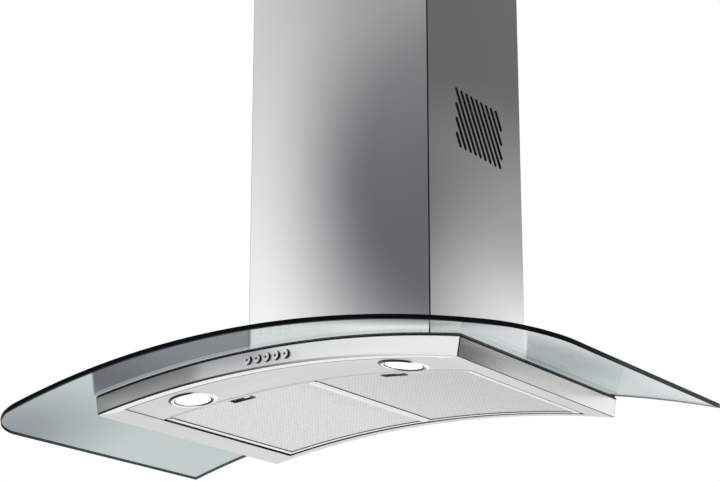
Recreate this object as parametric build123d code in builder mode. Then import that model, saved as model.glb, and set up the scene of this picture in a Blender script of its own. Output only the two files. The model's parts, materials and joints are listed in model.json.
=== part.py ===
from build123d import *
import os
from math import asin, cos, degrees, radians, sin, sqrt, tan

# Wall hood with an arched glass canopy, 900 mm wide, in millimetres.
# X runs to the right, Y into the wall and Z up.  The wall is the plane Y = 0, so everything
# stands on the side of negative Y, and "depth" below means the distance from the wall.
# The origin is the middle of the four wall bolts, on the wall.
# The canopy is an arch about an axis that runs straight out from the wall: the glass, its gasket,
# the housing's top, the underside panels and the filters are layers of it, each with its own radius.

# ------------------------------------------------------------------ driving dimensions
SHEET = 1.0                 # stainless sheet of the housing and the chimney covers
SEAT = 0.2                  # gap between two sheets that lie on each other
RUN = 0.5                   # gap between pieces that slide or swing past each other
BEND_R = 1.5                # bend radius of a cover's sheet, at the middle of its thickness

CORNER_DROP = 180.0         # lower corners of the housing, below the wall bolts

GLASS_WIDTH = 900.0
GLASS_DEPTH = 491.0         # wall to the middle of the front edge
GLASS_BOW = 13.0            # how far the front edge bulges at its middle
GLASS_CORNER_R = 75.0
GLASS_THICKNESS = 6.0
GLASS_BEND_R = 1600.0       # outer face
GASKET_THICKNESS = 1.4
GASKET_SEAT = 0.3           # over and under the gasket
GASKET_WIDTH = 12.0
GASKET_INSET = 2.0          # gasket's outer edge, inside the housing's walls

HOUSING_WIDTH = 580.0       # between the lower corners
LAMP_DEPTH = 350.5
LAMP_TO_FRONT = 61.5        # lamps' middles to the housing's front
LAMP_TO_FILTER = 38.0       # and to the filters' front wall
HOUSING_DEPTH = LAMP_DEPTH + LAMP_TO_FRONT
HOUSING_HEIGHT = 28.0       # along the arch's radius
HOUSING_CORNER_R = 1.5
FRONT_LIP = 15.0            # inturned lips of the housing's underside
SIDE_LIP = 36.0
REAR_LIP = 14.0

BOLT_SPACING_X = 190.0
BOLT_SPACING_Z = 150.0
BOLT_HOLE_R = 4.5
WALL_PLATE = 2.0            # thickness

BOX_WIDTH = 248.0           # blower box
BOX_DEPTH = 228.0
BOX_TOP = 120.0
BOX_FLANGE = 12.0
AIR_MARGIN = 14.0           # rim of the housing's air opening, inside the box's walls
NOTCH_GAP = 4.0             # glass notch, clear of the box's flange
NOTCH_CORNER_R = 10.0

CLAMP_SHEET = 1.5
CLAMP_GAP = 0.3             # clamp's pad and the glass
CLAMP_REACH = 26.0
CLAMP_RISE = 20.0
CLAMP_SIDE_LENGTH = 150.0
CLAMP_FRONT_LENGTH = 160.0

SCREW_R = 2.0               # M4 pan heads
SCREW_HEAD_R = 3.8
SCREW_HEAD = 2.4
SCREW_GAP = 0.2             # hole round a screw

COVER_SIDE_ROOM = 28.5      # blower box to the lower chimney cover's outer face
COVER_FRONT_ROOM = 27.0
COVER_WIDTH = BOX_WIDTH + 2 * COVER_SIDE_ROOM
COVER_DEPTH = BOX_DEPTH + COVER_FRONT_ROOM
COVER_TOP = 504.0
COVER_FLANGE = 15.0
UPPER_LENGTH = 250.0
UPPER_RIM = 14.0            # upper cover, showing above the lower one when it is down
BRACKET_HEIGHT = 22.0
BRACKET_SHEET = 1.5
BRACKET_HOLE_R = 2.75
COVER_BRACKET_Z = 132.0
COVER_BRACKET_SPACING = 180.0
UPPER_BRACKET_SPACING = 200.0

VENT_WIDTH = 120.0          # rectangle that the slots' ends lie on, on each side of the cover
VENT_HEIGHT = 76.0
VENT_PITCH = 13.5           # along the cover's depth
VENT_SLOT = 5.0
VENT_LEAN = 34.3            # from the vertical, back towards the wall as it goes down
VENT_DEPTH = 123.5          # middle of the pattern
VENT_Z = 211.5

BUTTON_COUNT = 5
BUTTON_PITCH = 15.2
BUTTON_R = 5.75
BUTTON_RUN = 0.08           # in the guide's bore
BUTTON_GAP = 0.45           # in the housing's hole
BUTTON_PROUD = 3.6
BUTTON_TRAVEL = 3.0
BUTTON_STEM = 12.0          # behind the housing's face
SWITCH_DEPTH = 26.0
SWITCH_HEIGHT = 20.0
SWITCH_MARGIN = 13.0        # beyond the end buttons' centres

LAMP_X = 172.0
LAMP_RING_R = 34.0
LAMP_RING_INNER_R = 24.5
LAMP_RING_PROUD = 2.0
LAMP_RING_SEAT = 0.5        # gap that lets the flat ring clear the curved panel
LAMP_HOLE_R = 30.0
LAMP_CUP_HEIGHT = 17.0
LAMP_WALL = 1.0
LENS_THICKNESS = 1.8
BULB_R = 4.0
BULB_LENGTH = 15.0
HOLDER_WIDTH = 9.0
HOLDER_LENGTH = 12.0
HOLDER_CORNER_R = 2.0

FILTER_FRONT = LAMP_DEPTH - LAMP_TO_FILTER
FILTER_LIP = 2.0            # front lip that covers the gap below the lamp panel's edge
FILTER_THICKNESS = 9.0
FILTER_GAP = 5.3            # to the lips at the side and the rear
FILTER_CENTRE_GAP = 1.2     # between the two filters
FILTER_FRONT_GAP = 1.4      # to the lamp panel
FILTER_RIM = 8.5            # visible rim of the frame beside the mesh
FILTER_FRONT_RIM = 4.0
FILTER_SHEET = 1.0
MESH_SEAT = 0.2
MESH_THICKNESS = 2.0
STRUT_WIDTH = 16.0
STRUT_GAP = 0.8             # strut over the filters
TAB_WIDTH = 30.0            # the filters' two rear tongues
TAB_INSET = 35.0            # their middles, from the filter's ends
TAB_SHEET = 1.5
RAIL_RISE = 5.0             # ledge under the tongues, above the underside
RAIL_DEPTH = 12.0
RAIL_SHEET = 1.2
SEAT_CLEAR = 0.3            # tongue over its ledge

LATCH_POCKET_WIDTH = 34.0   # finger pocket at the filter's front
LATCH_POCKET_LENGTH = 13.0
LATCH_POCKET_DEPTH = 5.5
LATCH_WALL = 1.2
LATCH_KNOB_WIDTH = 11.0
LATCH_KNOB_LENGTH = 6.0
LATCH_KNOB_OFFSET = 9.5
LATCH_TONGUE_WIDTH = 6.0
LATCH_TONGUE = 2.0
LATCH_CLEAR = 0.3
LATCH_REACH = 0.7           # tongue past the filter's front wall

FAN_DEPTH = 126.0           # centre of the impeller
FAN_Z = -16.0
IMPELLER_R = 70.0
IMPELLER_HALF = 50.0
BLADE_COUNT = 32
BLADE_INNER_R = 58.0
BLADE_SHEET = 1.0
BLADE_SAG = 2.2
END_RING = 2.0
SHAFT_R = 4.0
SHAFT_RUN = 0.05
HUB_R = 11.0
HUB_LENGTH = 11.0
MOTOR_R = 42.0
MOTOR_LENGTH = 52.0
MOTOR_FROM_DISC = 7.0
SCROLL_STEP = 8.0           # growth of the volute at each quarter turn
SCROLL_TONGUE_GAP = 12.0    # tip of the impeller to the volute where it is narrowest
SCROLL_HALF = 57.0
SCROLL_WALL = 2.0
SCROLL_RIB = 8.5            # flange where the two halves meet
INLET_R = 62.0
INLET_LIP = 3.0
NECK_WIDTH = 90.0
NECK_TOP = 80.0
ARM_COUNT = 3
ARM_WIDTH = 10.0
ARM_SHEET = 2.0
GROMMET_R = 6.0

COLLAR_R = 75.0             # 150 mm duct
COLLAR_WALL = 2.0
COLLAR_HEIGHT = 50.0
COLLAR_DEPTH = 118.0
COLLAR_FLANGE = 8.0
SOCKET_OVERLAP = 8.0
FLAP_Z = 150.0
FLAP_SHEET = 1.5
FLAP_GAP = 1.5              # flap's rim and the collar's wall
FLAP_SPLIT = 4.0            # flap's axle, from the collar's middle
FLAP_AXLE_R = 2.0
FLAP_STOP = 3.0

# ------------------------------------------------------------------ layers of the arch
GLASS_UNDER_R = GLASS_BEND_R - GLASS_THICKNESS
GASKET_R = GLASS_UNDER_R - GASKET_SEAT - GASKET_THICKNESS
TOP_R = GASKET_R - GASKET_SEAT                  # housing's top
UNDER_R = TOP_R - HOUSING_HEIGHT                # housing's underside
HALF_WIDTH = HOUSING_WIDTH / 2
ARCH_AXIS_Z = -CORNER_DROP - sqrt(UNDER_R ** 2 - HALF_WIDTH ** 2)
OPENING_HALF = HALF_WIDTH - SIDE_LIP            # housing's lower opening
OPENING_FRONT = HOUSING_DEPTH - FRONT_LIP
FLANGE_HALF = BOX_WIDTH / 2 + BOX_FLANGE
FLANGE_FRONT = BOX_DEPTH + BOX_FLANGE
NOTCH_HALF = FLANGE_HALF + NOTCH_GAP
NOTCH_FRONT = FLANGE_FRONT + NOTCH_GAP
BOX_NEAR = WALL_PLATE + SEAT                    # blower box, in front of the wall plate


def arch_angle(x):
    """Angle from the vertical of the radius that meets the housing's underside at x."""
    return degrees(asin(x / UNDER_R))


def arch_point(radius, angle):
    """Point of a layer, in the XZ plane."""
    return radius * sin(radians(angle)), ARCH_AXIS_Z + radius * cos(radians(angle))


def arch_height(radius, x):
    """Height of a layer at x."""
    return ARCH_AXIS_Z + sqrt(radius ** 2 - x ** 2)


def arch_plane(x, depth, radius):
    """Plane on a layer: its x along the layer, its y into the wall, its z up the arch's radius."""
    angle = arch_angle(x)
    across, up = arch_point(radius, angle)
    turn = radians(angle)
    return Plane((across, -depth, up), x_dir=(cos(turn), 0, -sin(turn)), z_dir=(sin(turn), 0, cos(turn)))


def arch_section(x, depth, radius):
    """Plane across the same place: its x along the layer, its y up the arch's radius."""
    flat = arch_plane(x, depth, radius)
    return Plane(flat.origin, x_dir=flat.x_dir, z_dir=(0, -1, 0))


def arch_band(low_r, high_r, x_from, x_to):
    """Face between two layers, with its ends cut along the arch's radii."""
    start, end = arch_angle(x_from), arch_angle(x_to)
    middle = (start + end) / 2
    with BuildLine() as outline:
        ThreePointArc(arch_point(low_r, start), arch_point(low_r, middle), arch_point(low_r, end))
        Line(arch_point(low_r, end), arch_point(high_r, end))
        ThreePointArc(arch_point(high_r, end), arch_point(high_r, middle), arch_point(high_r, start))
        Line(arch_point(high_r, start), arch_point(low_r, start))
    make_face(outline.edges())


def arch_block(low_r, high_r, x_from, x_to, near, far, mode=Mode.ADD):
    """Piece of the arch between two layers, from one depth to another."""
    with BuildSketch(Plane.XZ.offset(near)) as end:
        arch_band(low_r, high_r, x_from, x_to)
    extrude(end.sketch, amount=far - near, mode=mode)


def upright(x_from, x_to, near, far, low, high, mode=Mode.ADD):
    """Straight block between two values of x, two depths and two heights."""
    with BuildSketch(Plane.XY.offset(low)) as foot:
        with Locations(((x_from + x_to) / 2, -(near + far) / 2)):
            Rectangle(x_to - x_from, far - near)
    extrude(foot.sketch, amount=high - low, mode=mode)


def cut_to_arch(radius):
    """Trim the foot of an upright piece so that it stands on a layer of the arch."""
    with BuildSketch(Plane.XZ.offset(-SHEET)) as arch:
        with Locations((0, ARCH_AXIS_Z)):
            Circle(radius)
    extrude(arch.sketch, amount=GLASS_DEPTH, mode=Mode.SUBTRACT)


def pan_screw(plane, length):
    """Screw whose head stands on the plane and whose shank goes down from it."""
    with BuildSketch(plane) as head:
        Circle(SCREW_HEAD_R)
    extrude(head.sketch, amount=SCREW_HEAD)
    with BuildSketch(plane) as shank:
        Circle(SCREW_R)
    extrude(shank.sketch, amount=-length)


def screw_holes(planes, through):
    """Holes for those screws, through what lies below and above each plane."""
    for plane in planes:
        with BuildSketch(plane.offset(-through)) as hole:
            Circle(SCREW_R + SCREW_GAP)
        extrude(hole.sketch, amount=2 * through, mode=Mode.SUBTRACT)


FLANGE_TOP_R = TOP_R + SEAT + SHEET
FLANGE_SCREW_X = BOX_WIDTH / 2 + BOX_FLANGE / 2
FLANGE_SCREW_FRONT = BOX_DEPTH + BOX_FLANGE / 2
FLANGE_SCREWS = [
    arch_plane(side * FLANGE_SCREW_X, share * BOX_DEPTH, FLANGE_TOP_R)
    for side in (-1, 1)
    for share in (0.2, 0.8)
] + [arch_plane(side * BOX_WIDTH / 4, FLANGE_SCREW_FRONT, FLANGE_TOP_R) for side in (-1, 1)]
WALL_SCREWS = [
    Plane((side * (BOX_WIDTH / 2 - SHEET - BOX_FLANGE / 2), -BOX_NEAR - SHEET, up), x_dir=(1, 0, 0), z_dir=(0, -1, 0))
    for side in (-1, 1)
    for up in (-BOX_TOP / 2, BOX_TOP / 2)
]

# ------------------------------------------------------------------ glass and gasket
with BuildPart() as canopy_glass:
    arch_block(GLASS_UNDER_R, GLASS_BEND_R, -0.55 * GLASS_WIDTH, 0.55 * GLASS_WIDTH, 0, GLASS_DEPTH)
    side_depth = GLASS_DEPTH - GLASS_BOW
    with BuildSketch(Plane.XY.offset(ARCH_AXIS_Z)):
        with BuildLine():
            Line((GLASS_WIDTH / 2, -side_depth), (GLASS_WIDTH / 2, 0))
            Line((GLASS_WIDTH / 2, 0), (-GLASS_WIDTH / 2, 0))
            Line((-GLASS_WIDTH / 2, 0), (-GLASS_WIDTH / 2, -side_depth))
            ThreePointArc((-GLASS_WIDTH / 2, -side_depth), (0, -GLASS_DEPTH), (GLASS_WIDTH / 2, -side_depth))
        make_face()
        fillet(vertices().group_by(Axis.Y)[0], GLASS_CORNER_R)
    extrude(amount=2 * GLASS_BEND_R, mode=Mode.INTERSECT)
    with BuildSketch(Plane.XY.offset(-CORNER_DROP)):
        with Locations((0, -NOTCH_FRONT / 2)):
            Rectangle(2 * NOTCH_HALF, NOTCH_FRONT)
        fillet(vertices().group_by(Axis.Y)[0], NOTCH_CORNER_R)
    extrude(amount=HOUSING_WIDTH, mode=Mode.SUBTRACT)

with BuildPart() as glass_gasket:
    gasket_half = HALF_WIDTH - GASKET_INSET
    gasket_front = HOUSING_DEPTH - GASKET_INSET
    arch_block(GASKET_R, GASKET_R + GASKET_THICKNESS, -gasket_half, gasket_half, GASKET_INSET, gasket_front)
    arch_block(
        TOP_R - SHEET, GLASS_UNDER_R + SHEET,
        GASKET_WIDTH - gasket_half, gasket_half - GASKET_WIDTH,
        GASKET_INSET + GASKET_WIDTH, gasket_front - GASKET_WIDTH,
        Mode.SUBTRACT,
    )
    upright(-NOTCH_HALF, NOTCH_HALF, 0, NOTCH_FRONT, -CORNER_DROP, 0, Mode.SUBTRACT)

# ------------------------------------------------------------------ housing
BUTTON_Z = arch_height((UNDER_R + TOP_R) / 2, 0)

with BuildPart() as canopy_housing:
    arch_block(UNDER_R, TOP_R, -HALF_WIDTH, HALF_WIDTH, 0, HOUSING_DEPTH)
    front_corners = edges().filter_by(lambda edge: edge.length < 2 * HOUSING_HEIGHT).group_by(Axis.Y)[0]
    fillet(front_corners, HOUSING_CORNER_R)
    inside = HALF_WIDTH - SHEET
    arch_block(UNDER_R + SHEET, TOP_R - SHEET, -inside, inside, SHEET, HOUSING_DEPTH - SHEET, Mode.SUBTRACT)
    arch_block(
        UNDER_R - SHEET, UNDER_R + 2 * SHEET, -OPENING_HALF, OPENING_HALF, REAR_LIP, OPENING_FRONT, Mode.SUBTRACT
    )
    air_half = BOX_WIDTH / 2 - AIR_MARGIN
    upright(-air_half, air_half, AIR_MARGIN, BOX_DEPTH - AIR_MARGIN, BUTTON_Z, 0, Mode.SUBTRACT)
    screw_holes(FLANGE_SCREWS, 3 * SHEET)
    with BuildSketch(Plane.XZ.offset(HOUSING_DEPTH - 2 * SHEET)):
        with Locations((0, BUTTON_Z)):
            with GridLocations(BUTTON_PITCH, 0, BUTTON_COUNT, 1):
                Circle(BUTTON_R + BUTTON_GAP)
    extrude(amount=3 * SHEET, mode=Mode.SUBTRACT)

# ------------------------------------------------------------------ underside
PANEL_R = UNDER_R + SHEET + SEAT                # lower face of the lamp panel, on the housing's lips
PANEL_LAP = 6.0
PANEL_REAR = FILTER_FRONT + FILTER_FRONT_GAP
PANEL_RIB = 16.0
LAMPS = {"left": -LAMP_X, "right": LAMP_X}

with BuildPart() as lamp_panel:
    panel_half = OPENING_HALF + PANEL_LAP
    arch_block(PANEL_R, PANEL_R + SHEET, -panel_half, panel_half, PANEL_REAR, OPENING_FRONT + PANEL_LAP)
    rib_half = OPENING_HALF - PANEL_LAP
    arch_block(PANEL_R, PANEL_R + PANEL_RIB, -rib_half, rib_half, PANEL_REAR, PANEL_REAR + SHEET)
    for lamp_x in LAMPS.values():
        with BuildSketch(arch_plane(lamp_x, LAMP_DEPTH, PANEL_R - SHEET)):
            Circle(LAMP_HOLE_R)
        extrude(amount=3 * SHEET, mode=Mode.SUBTRACT)

with BuildPart() as filter_rail:
    rail_half = OPENING_HALF - FILTER_GAP
    rail_top = UNDER_R + RAIL_RISE + RAIL_SHEET
    arch_block(UNDER_R + RAIL_RISE, rail_top, -rail_half, rail_half, SHEET + SEAT, RAIL_DEPTH)
    arch_block(
        UNDER_R + SHEET + SEAT, rail_top, -rail_half, rail_half, SHEET + SEAT, SHEET + SEAT + RAIL_SHEET
    )

with BuildPart() as centre_strut:
    strut_half = STRUT_WIDTH / 2
    strut_near, strut_far = SHEET + SEAT, PANEL_REAR - SEAT
    strut_low = UNDER_R + FILTER_THICKNESS + STRUT_GAP
    strut_high = PANEL_R + PANEL_RIB
    arch_block(strut_low, strut_low + RAIL_SHEET, -strut_half, strut_half, strut_near, strut_far)
    arch_block(strut_low, strut_high, -strut_half, strut_half, strut_near, strut_near + RAIL_SHEET)
    arch_block(strut_low, strut_high, -strut_half, strut_half, strut_far - RAIL_SHEET, strut_far)

# ------------------------------------------------------------------ grease filters
FILTER_REAR = REAR_LIP + FILTER_GAP
FILTER_IN = FILTER_CENTRE_GAP / 2
FILTER_OUT = OPENING_HALF - FILTER_GAP
FILTER_MIDDLE = (FILTER_IN + FILTER_OUT) / 2
TAB_R = rail_top + SEAT_CLEAR
KNOB_R = UNDER_R + FILTER_SHEET                 # the knob's face, just inside the filter's face
KNOB_RISE = LATCH_POCKET_DEPTH - FILTER_SHEET - LATCH_CLEAR
POCKET_FRONT = FILTER_FRONT - FILTER_FRONT_RIM
POCKET_REAR = POCKET_FRONT - LATCH_POCKET_LENGTH
TONGUE_LOW = KNOB_R + (KNOB_RISE - LATCH_TONGUE) / 2


def ends(side, low, high):
    """A stretch of x, mirrored for the left filter."""
    return (low, high) if side > 0 else (-high, -low)


def latch_block(side, low_r, rise, width, near, far, offset=0.0, mode=Mode.ADD):
    """Block on the filter's middle line, square to the arch there."""
    with BuildSketch(arch_plane(side * FILTER_MIDDLE, (near + far) / 2, low_r)) as foot:
        with Locations((offset, 0)):
            Rectangle(width, far - near)
    extrude(foot.sketch, amount=rise, mode=mode)


def filter_frame(side):
    """Channel frame round the mesh, with two rear tongues and the latch's finger pocket."""
    with BuildPart() as frame:
        arch_block(UNDER_R, UNDER_R + FILTER_THICKNESS, *ends(side, FILTER_IN, FILTER_OUT), FILTER_REAR, FILTER_FRONT)
        arch_block(
            UNDER_R + FILTER_SHEET, UNDER_R + FILTER_THICKNESS - FILTER_SHEET,
            *ends(side, FILTER_IN + FILTER_SHEET, FILTER_OUT - FILTER_SHEET),
            FILTER_REAR + FILTER_SHEET, FILTER_FRONT - FILTER_SHEET,
            Mode.SUBTRACT,
        )
        arch_block(
            UNDER_R - FILTER_SHEET, UNDER_R + FILTER_THICKNESS + FILTER_SHEET,
            *ends(side, FILTER_IN + FILTER_RIM, FILTER_OUT - FILTER_RIM),
            FILTER_REAR + FILTER_RIM, FILTER_FRONT - FILTER_FRONT_RIM,
            Mode.SUBTRACT,
        )
        arch_block(
            UNDER_R, UNDER_R + FILTER_SHEET, *ends(side, FILTER_IN, FILTER_OUT),
            FILTER_FRONT - FILTER_SHEET, FILTER_FRONT + FILTER_LIP,
        )
        for middle in (FILTER_IN + TAB_INSET, FILTER_OUT - TAB_INSET):
            arch_block(
                TAB_R, TAB_R + TAB_SHEET, *ends(side, middle - TAB_WIDTH / 2, middle + TAB_WIDTH / 2),
                RAIL_DEPTH / 3, FILTER_REAR + FILTER_SHEET / 2,
            )
        cup_width = LATCH_POCKET_WIDTH + 2 * LATCH_WALL
        cup_front = FILTER_FRONT - FILTER_SHEET / 2
        latch_block(side, UNDER_R, LATCH_POCKET_DEPTH + LATCH_WALL, cup_width, POCKET_REAR - LATCH_WALL, cup_front)
        latch_block(
            side, UNDER_R - SHEET, LATCH_POCKET_DEPTH + SHEET, LATCH_POCKET_WIDTH,
            POCKET_REAR, POCKET_FRONT, 0, Mode.SUBTRACT,
        )
        latch_block(
            side, TONGUE_LOW - LATCH_CLEAR, LATCH_TONGUE + 2 * LATCH_CLEAR, LATCH_TONGUE_WIDTH + 2 * LATCH_CLEAR,
            POCKET_FRONT - SHEET, FILTER_FRONT + SHEET, LATCH_KNOB_OFFSET, Mode.SUBTRACT,
        )
    return frame


def filter_mesh(side):
    """Sheet of fine mesh in the frame's channel, notched round the finger pocket."""
    with BuildPart() as mesh:
        edge = FILTER_SHEET + MESH_SEAT
        arch_block(
            UNDER_R + edge, UNDER_R + edge + MESH_THICKNESS,
            *ends(side, FILTER_IN + edge, FILTER_OUT - edge), FILTER_REAR + edge, FILTER_FRONT - edge,
        )
        notch = LATCH_POCKET_WIDTH + 2 * LATCH_WALL + 2 * MESH_SEAT
        latch_block(
            side, UNDER_R - SHEET, FILTER_THICKNESS + 2 * SHEET, notch,
            POCKET_REAR - LATCH_WALL - MESH_SEAT, FILTER_FRONT, 0, Mode.SUBTRACT,
        )
    return mesh


def filter_latch(side):
    """Finger knob in the pocket, and the tongue that it draws back from the lamp panel."""
    with BuildPart() as latch:
        knob_front = POCKET_FRONT - LATCH_CLEAR
        latch_block(
            side, KNOB_R, KNOB_RISE, LATCH_KNOB_WIDTH,
            knob_front - LATCH_KNOB_LENGTH, knob_front, LATCH_KNOB_OFFSET,
        )
        fillet(edges().filter_by(GeomType.LINE).group_by(Axis.Z)[0], 0.8)
        latch_block(
            side, TONGUE_LOW, LATCH_TONGUE, LATCH_TONGUE_WIDTH,
            knob_front - LATCH_KNOB_LENGTH / 2, FILTER_FRONT + LATCH_REACH, LATCH_KNOB_OFFSET,
        )
    return latch


# ------------------------------------------------------------------ lamps
LENS_R = LAMP_HOLE_R - 2 * LAMP_WALL
LAMP_SLEEVE_R = LAMP_HOLE_R - SEAT


def lamp_ring(x):
    """Rounded chrome bezel under the panel, with a sleeve up through the panel's hole."""
    section = arch_section(x, LAMP_DEPTH, PANEL_R)
    with BuildPart() as ring:
        with BuildSketch(section):
            with BuildLine():
                Polyline(
                    (LAMP_RING_R, -LAMP_RING_SEAT), (LAMP_SLEEVE_R, -LAMP_RING_SEAT), (LAMP_SLEEVE_R, 3 * LAMP_RING_PROUD),
                    (LENS_R + SEAT, 3 * LAMP_RING_PROUD), (LENS_R + SEAT, -LAMP_RING_PROUD / 2),
                    (LAMP_RING_INNER_R, -LAMP_RING_PROUD / 2),
                )
                ThreePointArc(
                    (LAMP_RING_INNER_R, -LAMP_RING_PROUD / 2),
                    ((LAMP_RING_R + LAMP_RING_INNER_R) / 2 - LAMP_WALL, -LAMP_RING_PROUD),
                    (LAMP_RING_R, -LAMP_RING_SEAT),
                )
            make_face()
        revolve(axis=Axis(section.origin, section.y_dir))
    return ring


def lamp_lens(x):
    """Flat glass disc seated in the bezel."""
    low = -LAMP_RING_PROUD / 2 + SEAT / 2
    with BuildPart() as lens:
        with BuildSketch(arch_plane(x, LAMP_DEPTH, PANEL_R).offset(low)):
            Circle(LENS_R)
        extrude(amount=LENS_THICKNESS)
    return lens


def lamp_cup(x):
    """Drawn aluminium reflector above the lens."""
    low = -LAMP_RING_PROUD / 2 + LENS_THICKNESS + SEAT
    plane = arch_plane(x, LAMP_DEPTH, PANEL_R)
    with BuildPart() as cup:
        with BuildSketch(plane.offset(low)):
            Circle(LENS_R)
        extrude(amount=LAMP_CUP_HEIGHT)
        crown = faces().sort_by(Axis(plane.origin, plane.z_dir))[-1]
        fillet(crown.edges(), 6 * LAMP_WALL)
        mouth = faces().sort_by(Axis(plane.origin, plane.z_dir))[0]
        offset(amount=-LAMP_WALL, openings=mouth)
    return cup


def lamp_holder(x):
    """Ceramic block that holds the bulb's two pins, on the reflector's roof."""
    roof = -LAMP_RING_PROUD / 2 + LENS_THICKNESS + LAMP_CUP_HEIGHT - LAMP_WALL
    with BuildPart() as holder:
        with BuildSketch(arch_plane(x, LAMP_DEPTH, PANEL_R).offset(roof - 3 * BULB_R)):
            with Locations((BULB_LENGTH * 0.8, 0)):
                RectangleRounded(HOLDER_WIDTH, HOLDER_LENGTH, HOLDER_CORNER_R)
        extrude(amount=3 * BULB_R)
    return holder


def lamp_bulb(x):
    """Halogen capsule that lies across the reflector."""
    middle = -LAMP_RING_PROUD / 2 + LENS_THICKNESS + LAMP_CUP_HEIGHT - LAMP_WALL - 1.7 * BULB_R
    plane = arch_plane(x, LAMP_DEPTH, PANEL_R).offset(middle)
    base = BULB_LENGTH * 0.8 - HOLDER_WIDTH / 2 - SEAT
    with BuildPart() as bulb:
        across = Plane(plane.from_local_coords(Vector(base, 0, 0)), x_dir=plane.y_dir, z_dir=-plane.x_dir)
        with BuildSketch(across):
            Circle(BULB_R)
        extrude(amount=BULB_LENGTH)
        fillet(faces().sort_by(Axis(across.origin, across.z_dir))[-1].edges(), BULB_R * 0.8)
    return bulb


# ------------------------------------------------------------------ push buttons
SWITCH_HALF = (BUTTON_COUNT - 1) * BUTTON_PITCH / 2 + SWITCH_MARGIN
SWITCH_FRONT = HOUSING_DEPTH - SHEET - SEAT

with BuildPart() as switch_block:
    with BuildSketch(Plane.XZ.offset(SWITCH_FRONT)):
        with Locations((0, BUTTON_Z)):
            RectangleRounded(2 * SWITCH_HALF, SWITCH_HEIGHT, 2 * SHEET)
    extrude(amount=-SWITCH_DEPTH)
    with BuildSketch(Plane.XZ.offset(SWITCH_FRONT)):
        with Locations((0, BUTTON_Z)):
            with GridLocations(BUTTON_PITCH, 0, BUTTON_COUNT, 1):
                Circle(BUTTON_R + BUTTON_RUN)
    extrude(amount=-(BUTTON_STEM + BUTTON_TRAVEL + RUN), mode=Mode.SUBTRACT)


def push_button(number):
    """Round button with a slightly domed cap."""
    x = (number - (BUTTON_COUNT + 1) / 2) * BUTTON_PITCH
    with BuildPart() as button:
        with BuildSketch(Plane.XZ.offset(HOUSING_DEPTH - BUTTON_STEM)):
            with Locations((x, BUTTON_Z)):
                Circle(BUTTON_R)
        extrude(amount=BUTTON_STEM + BUTTON_PROUD)
        fillet(faces().sort_by(Axis.Y)[0].edges(), 0.9)
    return button


# ------------------------------------------------------------------ wall plate and blower box
with BuildPart() as wall_plate:
    upright(-BOX_WIDTH / 2, BOX_WIDTH / 2, 0, WALL_PLATE, -CORNER_DROP, BOX_TOP)
    cut_to_arch(TOP_R + SEAT)
    with BuildSketch(Plane.XZ):
        with GridLocations(BOLT_SPACING_X, BOLT_SPACING_Z, 2, 2):
            Circle(BOLT_HOLE_R)
    extrude(amount=WALL_PLATE, mode=Mode.SUBTRACT)
    screw_holes(WALL_SCREWS, 4 * SHEET)

CLAMP_R = GLASS_BEND_R + CLAMP_GAP
CLAMP_SIDE_X = BOX_WIDTH / 2 + SEAT
CLAMP_FRONT_DEPTH = BOX_DEPTH + SEAT
CLAMP_SCREW_Z = arch_height(CLAMP_R, CLAMP_SIDE_X) + 0.6 * CLAMP_RISE
CLAMP_SCREW_SHARES = (0.3, 0.5, 0.7)
CLAMP_SCREWS = [
    Plane(
        (side * (CLAMP_SIDE_X + CLAMP_SHEET), -share * BOX_DEPTH, CLAMP_SCREW_Z),
        x_dir=(0, 1, 0), z_dir=(side, 0, 0),
    )
    for side in (-1, 1)
    for share in CLAMP_SCREW_SHARES
] + [
    Plane(
        (side * CLAMP_FRONT_LENGTH / 3, -CLAMP_FRONT_DEPTH - CLAMP_SHEET, CLAMP_SCREW_Z),
        x_dir=(1, 0, 0), z_dir=(0, -1, 0),
    )
    for side in (-1, 1)
]

with BuildPart() as blower_box:
    half = BOX_WIDTH / 2
    upright(-half, half, BOX_NEAR, BOX_DEPTH, -CORNER_DROP, BOX_TOP)
    upright(SHEET - half, half - SHEET, 0, BOX_DEPTH - SHEET, -CORNER_DROP, BOX_TOP - SHEET, Mode.SUBTRACT)
    for left, right in ((SHEET - half, SHEET + BOX_FLANGE - half), (half - SHEET - BOX_FLANGE, half - SHEET)):
        upright(left, right, BOX_NEAR, BOX_NEAR + SHEET, -CORNER_DROP, BOX_TOP - SHEET)
    cut_to_arch(TOP_R + SEAT)
    foot_low, foot_high = TOP_R + SEAT, FLANGE_TOP_R
    for left, right in ((-FLANGE_HALF, SHEET - half), (half - SHEET, FLANGE_HALF)):
        arch_block(foot_low, foot_high, left, right, BOX_NEAR, FLANGE_FRONT)
    arch_block(foot_low, foot_high, -FLANGE_HALF, FLANGE_HALF, BOX_DEPTH - SHEET, FLANGE_FRONT)
    with BuildSketch(Plane.XY.offset(BOX_TOP - 2 * SHEET)):
        with Locations((0, -COLLAR_DEPTH)):
            Circle(COLLAR_R + SEAT_CLEAR)
    extrude(amount=3 * SHEET, mode=Mode.SUBTRACT)
    screw_holes(FLANGE_SCREWS + WALL_SCREWS, 2 * SHEET)
    screw_holes(CLAMP_SCREWS, 4 * SHEET)

with BuildPart() as box_screws:
    for seat in FLANGE_SCREWS:
        pan_screw(seat.offset(SEAT / 2), 6 * SHEET)
    for seat in WALL_SCREWS:
        pan_screw(seat.offset(SEAT / 2), BOX_NEAR + SHEET - SEAT)

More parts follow.
